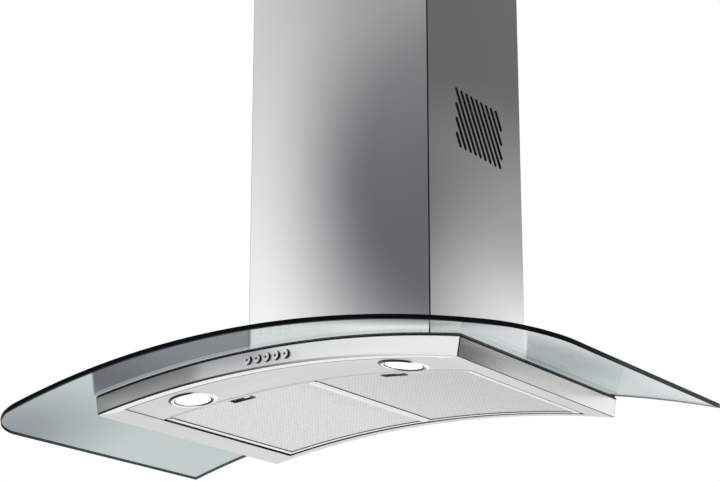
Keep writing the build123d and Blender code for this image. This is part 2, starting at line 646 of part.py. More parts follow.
with BuildPart() as glass_clamps:
    for side in (-1, 1):
        near, far = BOX_DEPTH / 2 - CLAMP_SIDE_LENGTH / 2, BOX_DEPTH / 2 + CLAMP_SIDE_LENGTH / 2
        foot = CLAMP_SIDE_X * UNDER_R / CLAMP_R
        arch_block(CLAMP_R, CLAMP_R + CLAMP_SHEET, *ends(side, foot, foot + CLAMP_REACH), near, far)
        low = arch_height(CLAMP_R, CLAMP_SIDE_X + CLAMP_SHEET)
        upright(*ends(side, CLAMP_SIDE_X, CLAMP_SIDE_X + CLAMP_SHEET), near, far, low, low + CLAMP_RISE)
    front_half = CLAMP_FRONT_LENGTH / 2
    front_far = CLAMP_FRONT_DEPTH + CLAMP_SHEET
    lap = COVER_DEPTH - SHEET - RUN
    arch_block(CLAMP_R, CLAMP_R + CLAMP_SHEET, -front_half, front_half, CLAMP_FRONT_DEPTH, lap)
    arch_block(CLAMP_R, CLAMP_R + CLAMP_RISE, -front_half, front_half, CLAMP_FRONT_DEPTH, front_far)
    screw_holes(CLAMP_SCREWS, 2 * CLAMP_SHEET)

with BuildPart() as clamp_screws:
    for seat in CLAMP_SCREWS:
        pan_screw(seat.offset(SEAT / 2), 6 * SHEET)

# ------------------------------------------------------------------ blower
FAN_CENTRE = (-FAN_DEPTH, FAN_Z)
VOLUTE_R = IMPELLER_R + SCROLL_TONGUE_GAP


VOLUTE_ARCS = [                                 # centre, radius and first angle of each quarter
    ((FAN_CENTRE[0] - SCROLL_STEP / 2, FAN_CENTRE[1] - SCROLL_STEP / 2), VOLUTE_R, 90),
    ((FAN_CENTRE[0] + SCROLL_STEP / 2, FAN_CENTRE[1] - SCROLL_STEP / 2), VOLUTE_R + SCROLL_STEP, 180),
    ((FAN_CENTRE[0] + SCROLL_STEP / 2, FAN_CENTRE[1] + SCROLL_STEP / 2), VOLUTE_R + 2 * SCROLL_STEP, 270),
]
NECK_BACK = VOLUTE_ARCS[2][0][0] + VOLUTE_ARCS[2][1]
NECK_MIDDLE = NECK_BACK - NECK_WIDTH / 2


def volute(grow, top):
    """Volute of three quarter arcs, each a step wider than the last, and its straight neck."""
    crest_y, crest_z = VOLUTE_ARCS[0][0][0], VOLUTE_ARCS[0][0][1] + VOLUTE_R + grow
    back, neck = NECK_BACK + grow, NECK_BACK - NECK_WIDTH - grow
    with BuildLine() as outline:
        for centre, radius, start in VOLUTE_ARCS:
            CenterArc(centre, radius + grow, start, 90)
        Polyline((back, VOLUTE_ARCS[2][0][1]), (back, top), (neck, top), (neck, crest_z), (crest_y, crest_z))
    make_face(outline.edges())


def rib_points():
    """Places of the screws round the rib, one or two to each quarter."""
    for (centre, radius, start), turns in zip(VOLUTE_ARCS, ((45,), (20, 70), (40,))):
        reach = radius + SCROLL_WALL + SCREW_HEAD_R + RUN
        for turn in turns:
            angle = radians(start + turn)
            yield centre[0] + reach * cos(angle), centre[1] + reach * sin(angle)


def scroll_half(side):
    """One moulded half of the volute casing, with its inlet and the rib it is screwed along."""
    with BuildPart() as half_casing:
        outer, seam = side * SCROLL_HALF, side * SEAT / 2
        with BuildSketch(Plane.YZ.offset(seam)):
            volute(SCROLL_WALL, NECK_TOP)
        extrude(amount=outer - seam)
        with BuildSketch(Plane.YZ.offset(seam)):
            volute(SCROLL_WALL + SCROLL_RIB, NECK_TOP - 2 * SOCKET_OVERLAP)
        extrude(amount=side * SCROLL_WALL)
        with BuildSketch(Plane.YZ.offset(outer)):
            with Locations(FAN_CENTRE):
                Circle(INLET_R + 2 * SCROLL_WALL)
        extrude(amount=side * INLET_LIP)
        with BuildSketch(Plane.YZ):
            volute(0, NECK_TOP + SCROLL_WALL)
        extrude(amount=outer - side * SCROLL_WALL, mode=Mode.SUBTRACT)
        with BuildSketch(Plane.YZ):
            with Locations(FAN_CENTRE):
                Circle(INLET_R)
        extrude(amount=side * (SCROLL_HALF + 2 * INLET_LIP), mode=Mode.SUBTRACT)
        mouth = edges().filter_by(GeomType.CIRCLE).group_by(Axis.X)[-1 if side > 0 else 0].sort_by(SortBy.RADIUS)[0]
        fillet(mouth, 0.8 * INLET_LIP)
        with BuildSketch(Plane.YZ.offset(-side * SCROLL_WALL)):
            with Locations(*rib_points()):
                Circle(SCREW_R + SCREW_GAP)
        extrude(amount=side * 3 * SCROLL_WALL, mode=Mode.SUBTRACT)
    return half_casing


with BuildPart() as scroll_screws:
    for point in rib_points():
        pan_screw(
            Plane((SEAT + SCROLL_WALL, *point), x_dir=(0, 1, 0), z_dir=(1, 0, 0)), 3 * SCROLL_WALL
        )

with BuildPart() as impeller:
    with BuildSketch(Plane.YZ, mode=Mode.PRIVATE) as blade:
        with BuildLine():
            ThreePointArc(
                (BLADE_INNER_R, 0),
                ((BLADE_INNER_R + IMPELLER_R) / 2, BLADE_SAG / 2),
                (IMPELLER_R - BLADE_SHEET / 2, 2 * BLADE_SAG),
            )
        trace(line_width=BLADE_SHEET)
    with BuildSketch(Plane.YZ.offset(END_RING - IMPELLER_HALF)):
        with Locations(FAN_CENTRE):
            with PolarLocations(0, BLADE_COUNT):
                add(blade.sketch_local)
    extrude(amount=2 * (IMPELLER_HALF - END_RING))
    for near in (-IMPELLER_HALF, IMPELLER_HALF - END_RING - SEAT):
        with BuildSketch(Plane.YZ.offset(near)):
            with Locations(FAN_CENTRE):
                Circle(IMPELLER_R)
                Circle(BLADE_INNER_R + 3 * BLADE_SHEET, mode=Mode.SUBTRACT)
        extrude(amount=END_RING + SEAT)
    with BuildSketch(Plane.YZ):
        with Locations(FAN_CENTRE):
            Circle(IMPELLER_R)
    extrude(amount=END_RING)
    with BuildSketch(Plane.YZ):
        with Locations(FAN_CENTRE):
            Circle(HUB_R)
    extrude(amount=END_RING + HUB_LENGTH)
    with BuildSketch(Plane.YZ):
        with Locations(FAN_CENTRE):
            Circle(SHAFT_R)
    extrude(amount=END_RING + HUB_LENGTH, mode=Mode.SUBTRACT)

MOTOR_BACK = -MOTOR_FROM_DISC - MOTOR_LENGTH
ARM_FACE = -SCROLL_HALF - INLET_LIP - SEAT
ARM_REACH = INLET_R + 2 * SCROLL_WALL + GROMMET_R + SHEET

with BuildPart() as fan_shaft:
    with BuildSketch(Plane.YZ.offset(ARM_FACE - ARM_SHEET - 2 * SHEET)):
        with Locations(FAN_CENTRE):
            Circle(SHAFT_R)
    extrude(amount=END_RING + HUB_LENGTH + 2 * SHEET - (ARM_FACE - ARM_SHEET - 2 * SHEET))

with BuildPart() as motor:
    with BuildSketch(Plane.YZ.offset(MOTOR_BACK)):
        with Locations(FAN_CENTRE):
            Circle(MOTOR_R)
    extrude(amount=MOTOR_LENGTH)
    fillet(edges().filter_by(GeomType.CIRCLE), 3 * SHEET)
    with BuildSketch(Plane.YZ.offset(MOTOR_BACK)):
        with Locations(FAN_CENTRE):
            Circle(HUB_R)
    extrude(amount=ARM_FACE + SEAT - MOTOR_BACK)
    with BuildSketch(Plane.YZ.offset(ARM_FACE)):
        with Locations(FAN_CENTRE):
            Circle(SHAFT_R + SHAFT_RUN)
    extrude(amount=-ARM_FACE, mode=Mode.SUBTRACT)

with BuildPart() as motor_bracket:
    with BuildSketch(Plane.YZ.offset(ARM_FACE)):
        with Locations(FAN_CENTRE):
            Circle(2.2 * HUB_R)
            with PolarLocations(ARM_REACH / 2, ARM_COUNT, start_angle=30):
                Rectangle(ARM_REACH, ARM_WIDTH)
            with PolarLocations(ARM_REACH, ARM_COUNT, start_angle=30):
                Circle(GROMMET_R + SHEET)
            Circle(SHAFT_R + SHEET, mode=Mode.SUBTRACT)
    extrude(amount=-ARM_SHEET)

with BuildPart() as motor_grommets:
    with BuildSketch(Plane.YZ.offset(-SCROLL_HALF - SEAT / 2)):
        with Locations(FAN_CENTRE):
            with PolarLocations(ARM_REACH, ARM_COUNT, start_angle=30):
                Circle(GROMMET_R)
    extrude(amount=-INLET_LIP)

# ------------------------------------------------------------------ duct collar and flaps
SOCKET_LOW = NECK_TOP - SOCKET_OVERLAP
SOCKET_TOP = NECK_TOP + SEAT_CLEAR
COLLAR_TOP = BOX_TOP + COLLAR_HEIGHT


def neck_outline(grow):
    """Rectangle round the volute's neck."""
    with Locations((0, NECK_MIDDLE)):
        Rectangle(2 * (SCROLL_HALF + grow), NECK_WIDTH + 2 * (SCROLL_WALL + grow))


def collar_bore(grow, mode):
    """Socket over the neck, a square-to-round taper and the round collar."""
    with BuildSketch(Plane.XY.offset(SOCKET_LOW)) as socket:
        neck_outline(SEAT_CLEAR + grow)
    extrude(socket.sketch, amount=SOCKET_TOP - SOCKET_LOW, mode=mode)
    with BuildSketch(Plane.XY.offset(SOCKET_TOP)) as square:
        neck_outline(SEAT_CLEAR + grow)
    with BuildSketch(Plane.XY.offset(BOX_TOP - SHEET)) as circle:
        with Locations((0, -COLLAR_DEPTH)):
            Circle(COLLAR_R - COLLAR_WALL + grow)
    loft([square.sketch, circle.sketch], mode=mode)
    extrude(circle.sketch, amount=COLLAR_TOP - BOX_TOP + SHEET, mode=mode)


def flap_axle(side):
    """Plane across the collar on a flap's axle, at its left end."""
    return Plane((0, side * FLAP_SPLIT - COLLAR_DEPTH, FLAP_Z), x_dir=(0, 1, 0), z_dir=(1, 0, 0))


FLAP_LEDGE_TOP = FLAP_Z - FLAP_SHEET / 2 - SEAT_CLEAR

with BuildPart() as outlet_collar:
    collar_bore(COLLAR_WALL, Mode.ADD)
    with BuildSketch(Plane.XY.offset(BOX_TOP + SEAT)):
        with Locations((0, -COLLAR_DEPTH)):
            Circle(COLLAR_R + COLLAR_FLANGE)
    extrude(amount=COLLAR_WALL)
    collar_bore(0, Mode.SUBTRACT)
    with BuildSketch(Plane.XY.offset(FLAP_LEDGE_TOP - FLAP_STOP)):
        with Locations((0, -COLLAR_DEPTH)):
            Circle(COLLAR_R - COLLAR_WALL / 2)
            Circle(COLLAR_R - COLLAR_WALL - FLAP_STOP - FLAP_GAP, mode=Mode.SUBTRACT)
    extrude(amount=FLAP_STOP)
    for side in (-1, 1):
        with BuildSketch(flap_axle(side)):
            Circle(FLAP_AXLE_R + SHAFT_RUN)
        extrude(amount=COLLAR_R, both=True, mode=Mode.SUBTRACT)
    for side in (-1, 1):
        lane = side * FLAP_SPLIT
        upright(
            -COLLAR_R + COLLAR_WALL, COLLAR_R - COLLAR_WALL,
            COLLAR_DEPTH - lane - FLAP_SPLIT, COLLAR_DEPTH - lane + FLAP_SPLIT,
            FLAP_LEDGE_TOP - FLAP_STOP, FLAP_LEDGE_TOP, Mode.SUBTRACT,
        )


def duct_flap(side):
    """Half-round non-return flap on its axle."""
    leaf_r = COLLAR_R - COLLAR_WALL - FLAP_GAP
    with BuildPart() as flap:
        with BuildSketch(Plane.XY.offset(FLAP_Z - FLAP_SHEET / 2)):
            with Locations((0, -COLLAR_DEPTH)):
                Circle(leaf_r)
                with Locations((0, side * (FLAP_SPLIT - COLLAR_R))):
                    Rectangle(2 * COLLAR_R, 2 * COLLAR_R, mode=Mode.SUBTRACT)
        extrude(amount=FLAP_SHEET)
        with BuildSketch(flap_axle(side)):
            Circle(FLAP_AXLE_R)
        extrude(amount=COLLAR_R - SEAT_CLEAR, both=True)
    return flap


# ------------------------------------------------------------------ electrics on the box's top
STRIP_IN = COLLAR_R + COLLAR_FLANGE + 2 * SHEET
STRIP_OUT = BOX_WIDTH / 2 - 2 * SHEET
STRIP_BASE = BOX_TOP + SEAT
TERMINAL_NEAR, TERMINAL_FAR, TERMINAL_HEIGHT = 20.0, 88.0, 30.0
CAPACITOR_NEAR, CAPACITOR_FAR = 120.0, 182.0
TRANSFORMER_NEAR, TRANSFORMER_FAR, TRANSFORMER_HEIGHT = 60.0, 170.0, 28.0
GLAND_R, GLAND_BORE_R, GLAND_HEIGHT = 8.0, 4.25, 14.0
STRIP_MIDDLE = (STRIP_IN + STRIP_OUT) / 2
CAPACITOR_R = (STRIP_OUT - STRIP_IN) / 2

with BuildPart() as terminal_box:
    upright(-STRIP_OUT, -STRIP_IN, TERMINAL_NEAR, TERMINAL_FAR, STRIP_BASE, STRIP_BASE + TERMINAL_HEIGHT)
    fillet(edges().filter_by(Axis.Z), 3 * SHEET)
    upright(
        1.5 * SHEET - STRIP_OUT, -STRIP_IN - 1.5 * SHEET, TERMINAL_NEAR + 1.5 * SHEET, TERMINAL_FAR - 1.5 * SHEET,
        STRIP_BASE + 1.5 * SHEET, STRIP_BASE + TERMINAL_HEIGHT - 1.5 * SHEET, Mode.SUBTRACT,
    )
    with BuildSketch(Plane.XY.offset(STRIP_BASE + TERMINAL_HEIGHT - 2 * SHEET)):
        with Locations((-STRIP_MIDDLE, -TERMINAL_FAR + 2 * GLAND_R)):
            Circle(GLAND_R - 2 * SHEET + SEAT)
    extrude(amount=3 * SHEET, mode=Mode.SUBTRACT)

with BuildPart() as cable_gland:
    gland_base = STRIP_BASE + TERMINAL_HEIGHT + SEAT
    with BuildSketch(Plane.XY.offset(gland_base)):
        with Locations((-STRIP_MIDDLE, -TERMINAL_FAR + 2 * GLAND_R)):
            RegularPolygon(GLAND_R, 6)
    extrude(amount=GLAND_HEIGHT / 2)
    with BuildSketch(Plane.XY.offset(gland_base - 4 * SHEET)):
        with Locations((-STRIP_MIDDLE, -TERMINAL_FAR + 2 * GLAND_R)):
            Circle(GLAND_R - 2 * SHEET)
    extrude(amount=GLAND_HEIGHT + 4 * SHEET)
    with BuildSketch(Plane.XY.offset(gland_base - 5 * SHEET)):
        with Locations((-STRIP_MIDDLE, -TERMINAL_FAR + 2 * GLAND_R)):
            Circle(GLAND_BORE_R)
    extrude(amount=GLAND_HEIGHT + 6 * SHEET, mode=Mode.SUBTRACT)

with BuildPart() as run_capacitor:
    with BuildSketch(Plane.XZ.offset(CAPACITOR_NEAR)):
        with Locations((-STRIP_MIDDLE, STRIP_BASE + CAPACITOR_R)):
            Circle(CAPACITOR_R)
    extrude(amount=CAPACITOR_FAR - CAPACITOR_NEAR)
    fillet(edges().filter_by(GeomType.CIRCLE), 1.5 * SHEET)

with BuildPart() as lamp_transformer:
    upright(STRIP_IN, STRIP_OUT, TRANSFORMER_NEAR, TRANSFORMER_FAR, STRIP_BASE, STRIP_BASE + TRANSFORMER_HEIGHT)
    fillet(edges().filter_by(Axis.Z), 2 * SHEET)
    fillet(faces().sort_by(Axis.Z)[-1].edges(), 1.5 * SHEET)

# ------------------------------------------------------------------ chimney
COVER_FOOT_R = GLASS_BEND_R + SEAT
UPPER_HALF = COVER_WIDTH / 2 - SHEET - RUN
UPPER_FRONT = COVER_DEPTH - SHEET - RUN
UPPER_TOP = COVER_TOP + UPPER_RIM


def cover_section(half, near, front):
    """Folded U of one cover, with a flange turned in along the wall at each side."""
    half, near, front = half - SHEET / 2, near + SHEET / 2, front - SHEET / 2
    with BuildLine() as fold:
        FilletPolyline(
            (COVER_FLANGE - half, -near), (-half, -near), (-half, -front),
            (half, -front), (half, -near), (half - COVER_FLANGE, -near),
            radius=BEND_R,
        )
    trace(fold.edges(), line_width=SHEET)


def vent_slots():
    """Leaning slots that fill a rectangle: those that start on its near edge or end on its far one are short."""
    lean = tan(radians(VENT_LEAN))
    first = -int(VENT_HEIGHT * lean / VENT_PITCH)
    last = int(VENT_WIDTH / VENT_PITCH)
    for number in range(first, last + 1):
        top_y = number * VENT_PITCH - VENT_WIDTH / 2
        start = max(0.0, -number * VENT_PITCH / lean)
        end = min(VENT_HEIGHT, (VENT_WIDTH / 2 - top_y) / lean)
        middle = (start + end) / 2
        with Locations((top_y + middle * lean - VENT_DEPTH, VENT_Z + VENT_HEIGHT / 2 - middle)):
            SlotCenterToCenter((end - start) / cos(radians(VENT_LEAN)), VENT_SLOT, rotation=VENT_LEAN - 90)


with BuildPart() as lower_chimney_cover:
    with BuildSketch(Plane.XY.offset(-CORNER_DROP)):
        cover_section(COVER_WIDTH / 2, 0, COVER_DEPTH)
    extrude(amount=CORNER_DROP + COVER_TOP)
    cut_to_arch(COVER_FOOT_R)
    with BuildSketch(Plane.YZ.offset(-COVER_WIDTH)):
        vent_slots()
    extrude(amount=2 * COVER_WIDTH, mode=Mode.SUBTRACT)

BRACKET_REACH = 20.0
COVER_EDGE = COVER_WIDTH / 2 - COVER_FLANGE


def wall_bracket(plate_half, flange_front, wing_half, low, reach):
    """Strap on the wall that steps forward round a cover's flanges, with a lug along each side if it has reach."""
    wall_line, wing_line = -BRACKET_SHEET / 2, -flange_front - SEAT - BRACKET_SHEET / 2
    side = [(wing_half, wing_line), (plate_half, wing_line), (plate_half, wall_line)]
    if reach:
        side.insert(0, (wing_half, wing_line - reach))
    with BuildSketch(Plane.XY.offset(low)) as strap:
        with BuildLine():
            Polyline(*side, *[(-x, y) for x, y in reversed(side)])
        trace(line_width=BRACKET_SHEET)
        if reach:
            edge = wing_line + BRACKET_SHEET / 2
            fillet([v for v in vertices() if abs(v.X) > wing_half and abs(v.Y - edge) < SEAT], BEND_R)
    extrude(strap.sketch, amount=BRACKET_HEIGHT)


def bracket_holes(spacing, low):
    """Two wall screw holes in a bracket."""
    with BuildSketch(Plane.XZ) as holes:
        with Locations((0, low + BRACKET_HEIGHT / 2)):
            with GridLocations(spacing, 0, 2, 1):
                Circle(BRACKET_HOLE_R)
    extrude(holes.sketch, amount=2 * BRACKET_SHEET, mode=Mode.SUBTRACT)


with BuildPart() as cover_bracket:
    plate_half = COVER_EDGE - RUN - BRACKET_SHEET / 2
    wall_bracket(plate_half, SHEET, COVER_WIDTH / 2 - 2 * SHEET, COVER_BRACKET_Z, 0)
    bracket_holes(COVER_BRACKET_SPACING, COVER_BRACKET_Z)

UPPER_NEAR = SHEET + RUN
UPPER_BRACKET_Z = UPPER_TOP - BRACKET_HEIGHT - SHEET
UPPER_SCREWS = [
    Plane((side * UPPER_HALF, -UPPER_NEAR - SHEET - BRACKET_REACH / 2, COVER_TOP + UPPER_RIM / 2),
          x_dir=(0, 1, 0), z_dir=(side, 0, 0))
    for side in (-1, 1)
]

with BuildPart() as upper_chimney_cover:
    with BuildSketch(Plane.XY.offset(UPPER_TOP - UPPER_LENGTH)):
        cover_section(UPPER_HALF, UPPER_NEAR, UPPER_FRONT)
    extrude(amount=UPPER_LENGTH)
    screw_holes(UPPER_SCREWS, 2 * SHEET)

with BuildPart() as upper_cover_bracket:
    lug = UPPER_HALF - SHEET - SEAT - BRACKET_SHEET / 2
    plate_half = UPPER_HALF - COVER_FLANGE - RUN - BRACKET_SHEET / 2
    wall_bracket(plate_half, UPPER_NEAR + SHEET, lug, UPPER_BRACKET_Z, BRACKET_REACH)
    bracket_holes(UPPER_BRACKET_SPACING, UPPER_BRACKET_Z)
    screw_holes(UPPER_SCREWS, 4 * SHEET)

with BuildPart() as upper_cover_screws:
    for seat in UPPER_SCREWS:
        pan_screw(seat.offset(SEAT / 2), 6 * SHEET)

# ------------------------------------------------------------------ export
SIDES = {"left": -1, "right": 1}

pieces = {
    "canopy_glass": canopy_glass,
    "glass_gasket": glass_gasket,
    "canopy_housing": canopy_housing,
    "lamp_panel": lamp_panel,
    "filter_rail": filter_rail,
    "centre_strut": centre_strut,
    "switch_block": switch_block,
    "wall_plate": wall_plate,
    "blower_box": blower_box,
    "box_screws": box_screws,
    "glass_clamps": glass_clamps,
    "clamp_screws": clamp_screws,
    "scroll_left": scroll_half(-1),
    "scroll_right": scroll_half(1),
    "scroll_screws": scroll_screws,
    "impeller": impeller,
    "fan_shaft": fan_shaft,
    "motor": motor,
    "motor_bracket": motor_bracket,
    "motor_grommets": motor_grommets,
    "outlet_collar": outlet_collar,
    "flap_front": duct_flap(-1),
    "flap_rear": duct_flap(1),
    "terminal_box": terminal_box,
    "cable_gland": cable_gland,
    "run_capacitor": run_capacitor,
    "lamp_transformer": lamp_transformer,
    "lower_chimney_cover": lower_chimney_cover,
    "cover_bracket": cover_bracket,
    "upper_chimney_cover": upper_chimney_cover,
    "upper_cover_bracket": upper_cover_bracket,
    "upper_cover_screws": upper_cover_screws,
}
for name, lamp_x in LAMPS.items():
    pieces[f"lamp_ring_{name}"] = lamp_ring(lamp_x)
    pieces[f"lamp_lens_{name}"] = lamp_lens(lamp_x)
    pieces[f"lamp_cup_{name}"] = lamp_cup(lamp_x)
    pieces[f"lamp_holder_{name}"] = lamp_holder(lamp_x)
    pieces[f"lamp_bulb_{name}"] = lamp_bulb(lamp_x)
for name, side in SIDES.items():
    pieces[f"filter_frame_{name}"] = filter_frame(side)
    pieces[f"filter_mesh_{name}"] = filter_mesh(side)
    pieces[f"filter_latch_{name}"] = filter_latch(side)
for number in range(1, BUTTON_COUNT + 1):
    pieces[f"push_button_{number}"] = push_button(number)

os.makedirs("parts", exist_ok=True)
for name, piece in pieces.items():
    piece.part.label = name
    export_step(piece.part, f"parts/{name}.step")
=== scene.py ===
"""Looks of a wall hood with an arched glass canopy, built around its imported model.

Every length in the functions below is in millimetres, like the model's drawing, and becomes metres when a
mesh is made.  X runs to the right, Y into the wall, and depth is the distance from the wall.
"""

import json

import bpy
import numpy as np
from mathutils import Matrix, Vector
from mathutils.geometry import delaunay_2d_cdt


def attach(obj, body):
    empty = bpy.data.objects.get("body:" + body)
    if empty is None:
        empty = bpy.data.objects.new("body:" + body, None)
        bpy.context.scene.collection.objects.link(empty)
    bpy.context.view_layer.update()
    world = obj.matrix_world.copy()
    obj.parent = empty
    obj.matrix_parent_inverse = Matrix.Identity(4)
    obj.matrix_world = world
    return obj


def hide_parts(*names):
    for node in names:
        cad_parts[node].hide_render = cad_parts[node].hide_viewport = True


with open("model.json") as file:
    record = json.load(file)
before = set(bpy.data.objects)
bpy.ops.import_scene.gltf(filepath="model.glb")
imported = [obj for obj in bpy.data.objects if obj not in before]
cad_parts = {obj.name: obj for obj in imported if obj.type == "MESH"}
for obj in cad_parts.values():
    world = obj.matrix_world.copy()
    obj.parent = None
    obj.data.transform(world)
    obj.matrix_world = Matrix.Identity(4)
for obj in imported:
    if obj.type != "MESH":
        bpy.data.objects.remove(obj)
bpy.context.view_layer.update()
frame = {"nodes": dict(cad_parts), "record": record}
scene = bpy.context.scene

# -------- sizes shared with the model
CORNER_DROP = 180.0
GLASS_R, GLASS_T = 1600.0, 6.0
GLASS_WIDTH, GLASS_DEPTH, GLASS_BOW, GLASS_CORNER = 900.0, 491.0, 13.0, 75.0
NOTCH_HALF, NOTCH_FRONT = 140.0, 244.0
TOP_R = GLASS_R - GLASS_T - 2.0
UNDER_R = TOP_R - 28.0
DEEP = TOP_R - UNDER_R
HALF_WIDTH, DEPTH = 290.0, 412.0
AXIS_Z = -CORNER_DROP - np.sqrt(UNDER_R ** 2 - HALF_WIDTH ** 2)
S_HALF = UNDER_R * np.arcsin(HALF_WIDTH / UNDER_R)
SHEET = 1.0
OPENING_HALF, OPENING_REAR, OPENING_FRONT = 254.0, 14.0, 397.0
AIR_HALF, AIR_REAR, AIR_FRONT = 110.0, 14.0, 214.0
BUTTON_XS, BUTTON_R = np.arange(-2, 3) * 15.2, 5.75
BUTTON_HIGH = UNDER_R + 14.0
LAMP_X, LAMP_DEPTH, LAMP_HOLE_R = 172.0, 350.5, 29.9
PANEL_R, PANEL_REAR, PANEL_RIB = UNDER_R + SHEET + 0.2, 313.9, 16.0
FILTER_IN, FILTER_OUT, FILTER_REAR, FILTER_FRONT = 0.6, 248.7, 19.3, 312.5
FILTER_T, FILTER_RIM, FILTER_FRONT_RIM = 9.0, 8.5, 4.0
NET_GAP, NET_T = 1.2, 2.0
POCKET_HALF, POCKET_REAR, POCKET_FRONT, POCKET_WALL = 17.0, 295.5, 308.5, 1.2
COVER_HALF, COVER_DEPTH, COVER_TOP = 152.5, 255.0, 504.0
UPPER_GAP, UPPER_FOOT, UPPER_TOP = 1.5, 268.0, 518.0
VENT_WIDTH, VENT_HEIGHT, VENT_PITCH, VENT_SLOT = 122.0, 81.0, 13.6, 7.2
VENT_LEAN, VENT_DEPTH, VENT_Z = 31.4, 118.0, 237.6
SIDES = ("left", -1), ("right", 1)


# -------- meshes
def put_in(name, data):
    """Object in the scene made of this mesh, light or camera."""
    piece = bpy.data.objects.new(name, data)
    scene.collection.objects.link(piece)
    return piece


def add_object(name, points, faces, body, materials, picks=None, normals=None, replaces=()):
    """Puts points in millimetres and faces into a smooth mesh at the origin, hangs it on its body's empty and hides the
    model's parts that it replaces.
    """
    mesh = bpy.data.meshes.new(name)
    mesh.from_pydata((points * 0.001).tolist(), [], faces)
    for material in materials:
        mesh.materials.append(material)
    if picks is not None:
        mesh.polygons.foreach_set("material_index", np.asarray(picks, dtype=np.int32))
    mesh.polygons.foreach_set("use_smooth", np.ones(len(faces), dtype=bool))
    mesh.update()
    if normals is None:
        mesh.set_sharp_from_angle(angle=np.radians(38))
    else:
        mesh.normals_split_custom_set_from_vertices(normals.tolist())
    piece = put_in(name, mesh)
    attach(piece, body)
    if replaces:
        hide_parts(*replaces)


def weld(points, faces, normals=None):
    """Joins points that share a place, and drops the corners that this makes double: quads may become triangles."""
    _, first, same = np.unique(np.round(points, 4), axis=0, return_index=True, return_inverse=True)
    kept = []
    for part in faces:
        part = same.ravel()[part]
        differs = part != np.roll(part, -1, axis=1)
        count = differs.sum(axis=1)
        for corners in range(3, part.shape[1] + 1):
            rows = count == corners
            kept += part[rows][differs[rows]].reshape(-1, corners).tolist()
    return points[first], kept, None if normals is None else normals[first]


def facing_out(points, faces):
    """Turns a closed surface's faces so that the volume they enclose is positive."""
    volume = sum(
        float(np.einsum("ij,ij->", points[part[:, 0]], np.cross(points[part[:, k]], points[part[:, k + 1]])))
        for part in faces
        for k in range(1, part.shape[1] - 1)
    )
    return [part[:, ::-1] for part in faces] if volume < 0 else faces


def stack(*columns):
    """Rows made of columns, where a single number fills a column."""
    return np.column_stack(np.broadcast_arrays(*columns))


def unit(vectors):
    """Rows with a length of one."""
    return vectors / np.linalg.norm(vectors, axis=1)[:, None]


def means(values, faces):
    """Mean over each face's corners."""
    return np.array([values[face].mean(axis=0) for face in faces])


def between(rows, count, ring=False):
    """Quads between closed rows of count points; ring also joins the last row to the first."""
    down = np.arange(rows if ring else rows - 1)[:, None] * count
    across = np.arange(count)
    a, b = (down + across).ravel(), (down + (across + 1) % count).ravel()
    total = rows * count
    return stack(a, b, (b + count) % total, (a + count) % total)


def inset(loop, amount):
    """A closed flat loop moved to its left by amount: each point goes along the mitre of its two edges."""
    before = loop - np.roll(loop, 1, axis=0)
    left_before = unit(stack(-before[:, 1], before[:, 0]))
    left_after = np.roll(left_before, -1, axis=0)
    mitre = (left_before + left_after) / (1 + (left_before * left_after).sum(axis=1))[:, None]
    return loop + amount * mitre


def inside(points, loop):
    """Even-odd rule: a point is inside where a ray to its right crosses the loop an odd number of times."""
    x, y = points[:, :1], points[:, 1:]
    ax, ay = loop[:, 0], loop[:, 1]
    bx, by = np.roll(ax, -1), np.roll(ay, -1)
    rise = np.where(by == ay, 1.0, by - ay)
    crossed = ((ay > y) != (by > y)) & (x < ax + (y - ay) * (bx - ax) / rise)
    return crossed.sum(axis=1) % 2 == 1


def arc(centre, radius, start, end, count):
    """Points of an arc, angles in degrees."""
    turn = np.radians(np.linspace(start, end, count))
    return stack(centre[0] + radius * np.cos(turn), centre[1] + radius * np.sin(turn))


def border(low, high, radius, along_x, along_y, steps=5):
    """Counterclockwise rounded rectangle.  The shares from 0 to 1 divide its straight sides, so that two borders
    made with the same shares match point for point."""
    (x0, y0), (x1, y1) = np.add(low, radius), np.subtract(high, radius)
    xs, ys = x0 + along_x * (x1 - x0), y0 + along_y * (y1 - y0)
    return np.vstack((
        stack(xs, low[1]), arc((x1, y0), radius, -90, 0, steps),
        stack(high[0], ys), arc((x1, y1), radius, 0, 90, steps),
        stack(xs[::-1], high[1]), arc((x0, y1), radius, 90, 180, steps),
        stack(low[0], ys[::-1]), arc((x0, y0), radius, 180, 270, steps),
    ))


def slot_hole(centre, length, width, lean, steps=9):
    """Clockwise slot with round ends.  Its middle line is length long and leans that far from the first axis."""
    ends = arc((length / 2, 0), width / 2, 90, -90, steps), arc((-length / 2, 0), width / 2, -90, -270, steps)
    c, s = np.cos(np.radians(lean)), np.sin(np.radians(lean))
    return np.vstack(ends) @ np.array([[c, s], [-s, c]]) + centre


def circle(x, y, radius, count):
    """Clockwise circle, which is how a hole's loop runs."""
    return arc((x, y), radius, 0, -360 * (1 - 1 / count), count)


def filled(loops, columns, rows):
    """Triangles between an outline, counterclockwise, and its holes, clockwise, on the columns and rows."""
    grid = np.stack(np.meshgrid(columns, rows), axis=-1).reshape(-1, 2)
    keep = inside(grid, inset(loops[0], 0.6))
    for hole in loops[1:]:
        keep &= ~inside(grid, inset(hole, 0.6))
    flat = np.vstack(loops + [grid[keep]])
    pitch = np.array([np.ptp(columns) / len(columns), np.ptp(rows) / len(rows)])
    edges, first = [], 0
    for loop in loops:
        index = first + np.arange(len(loop))
        edges += stack(index, np.roll(index, -1)).tolist()
        first += len(loop)
    _, _, triangles, sources, _, _ = delaunay_2d_cdt((flat / pitch).tolist(), edges, [], 0, 1e-7)
    assert all(sources), "a pattern's edges cross"
    triangles = np.array([source[0] for source in sources])[np.array(triangles)]
    middles = flat[triangles].mean(axis=1)
    wanted = inside(middles, loops[0])
    for hole in loops[1:]:
        wanted &= ~inside(middles, hole)
    return flat, triangles[wanted]


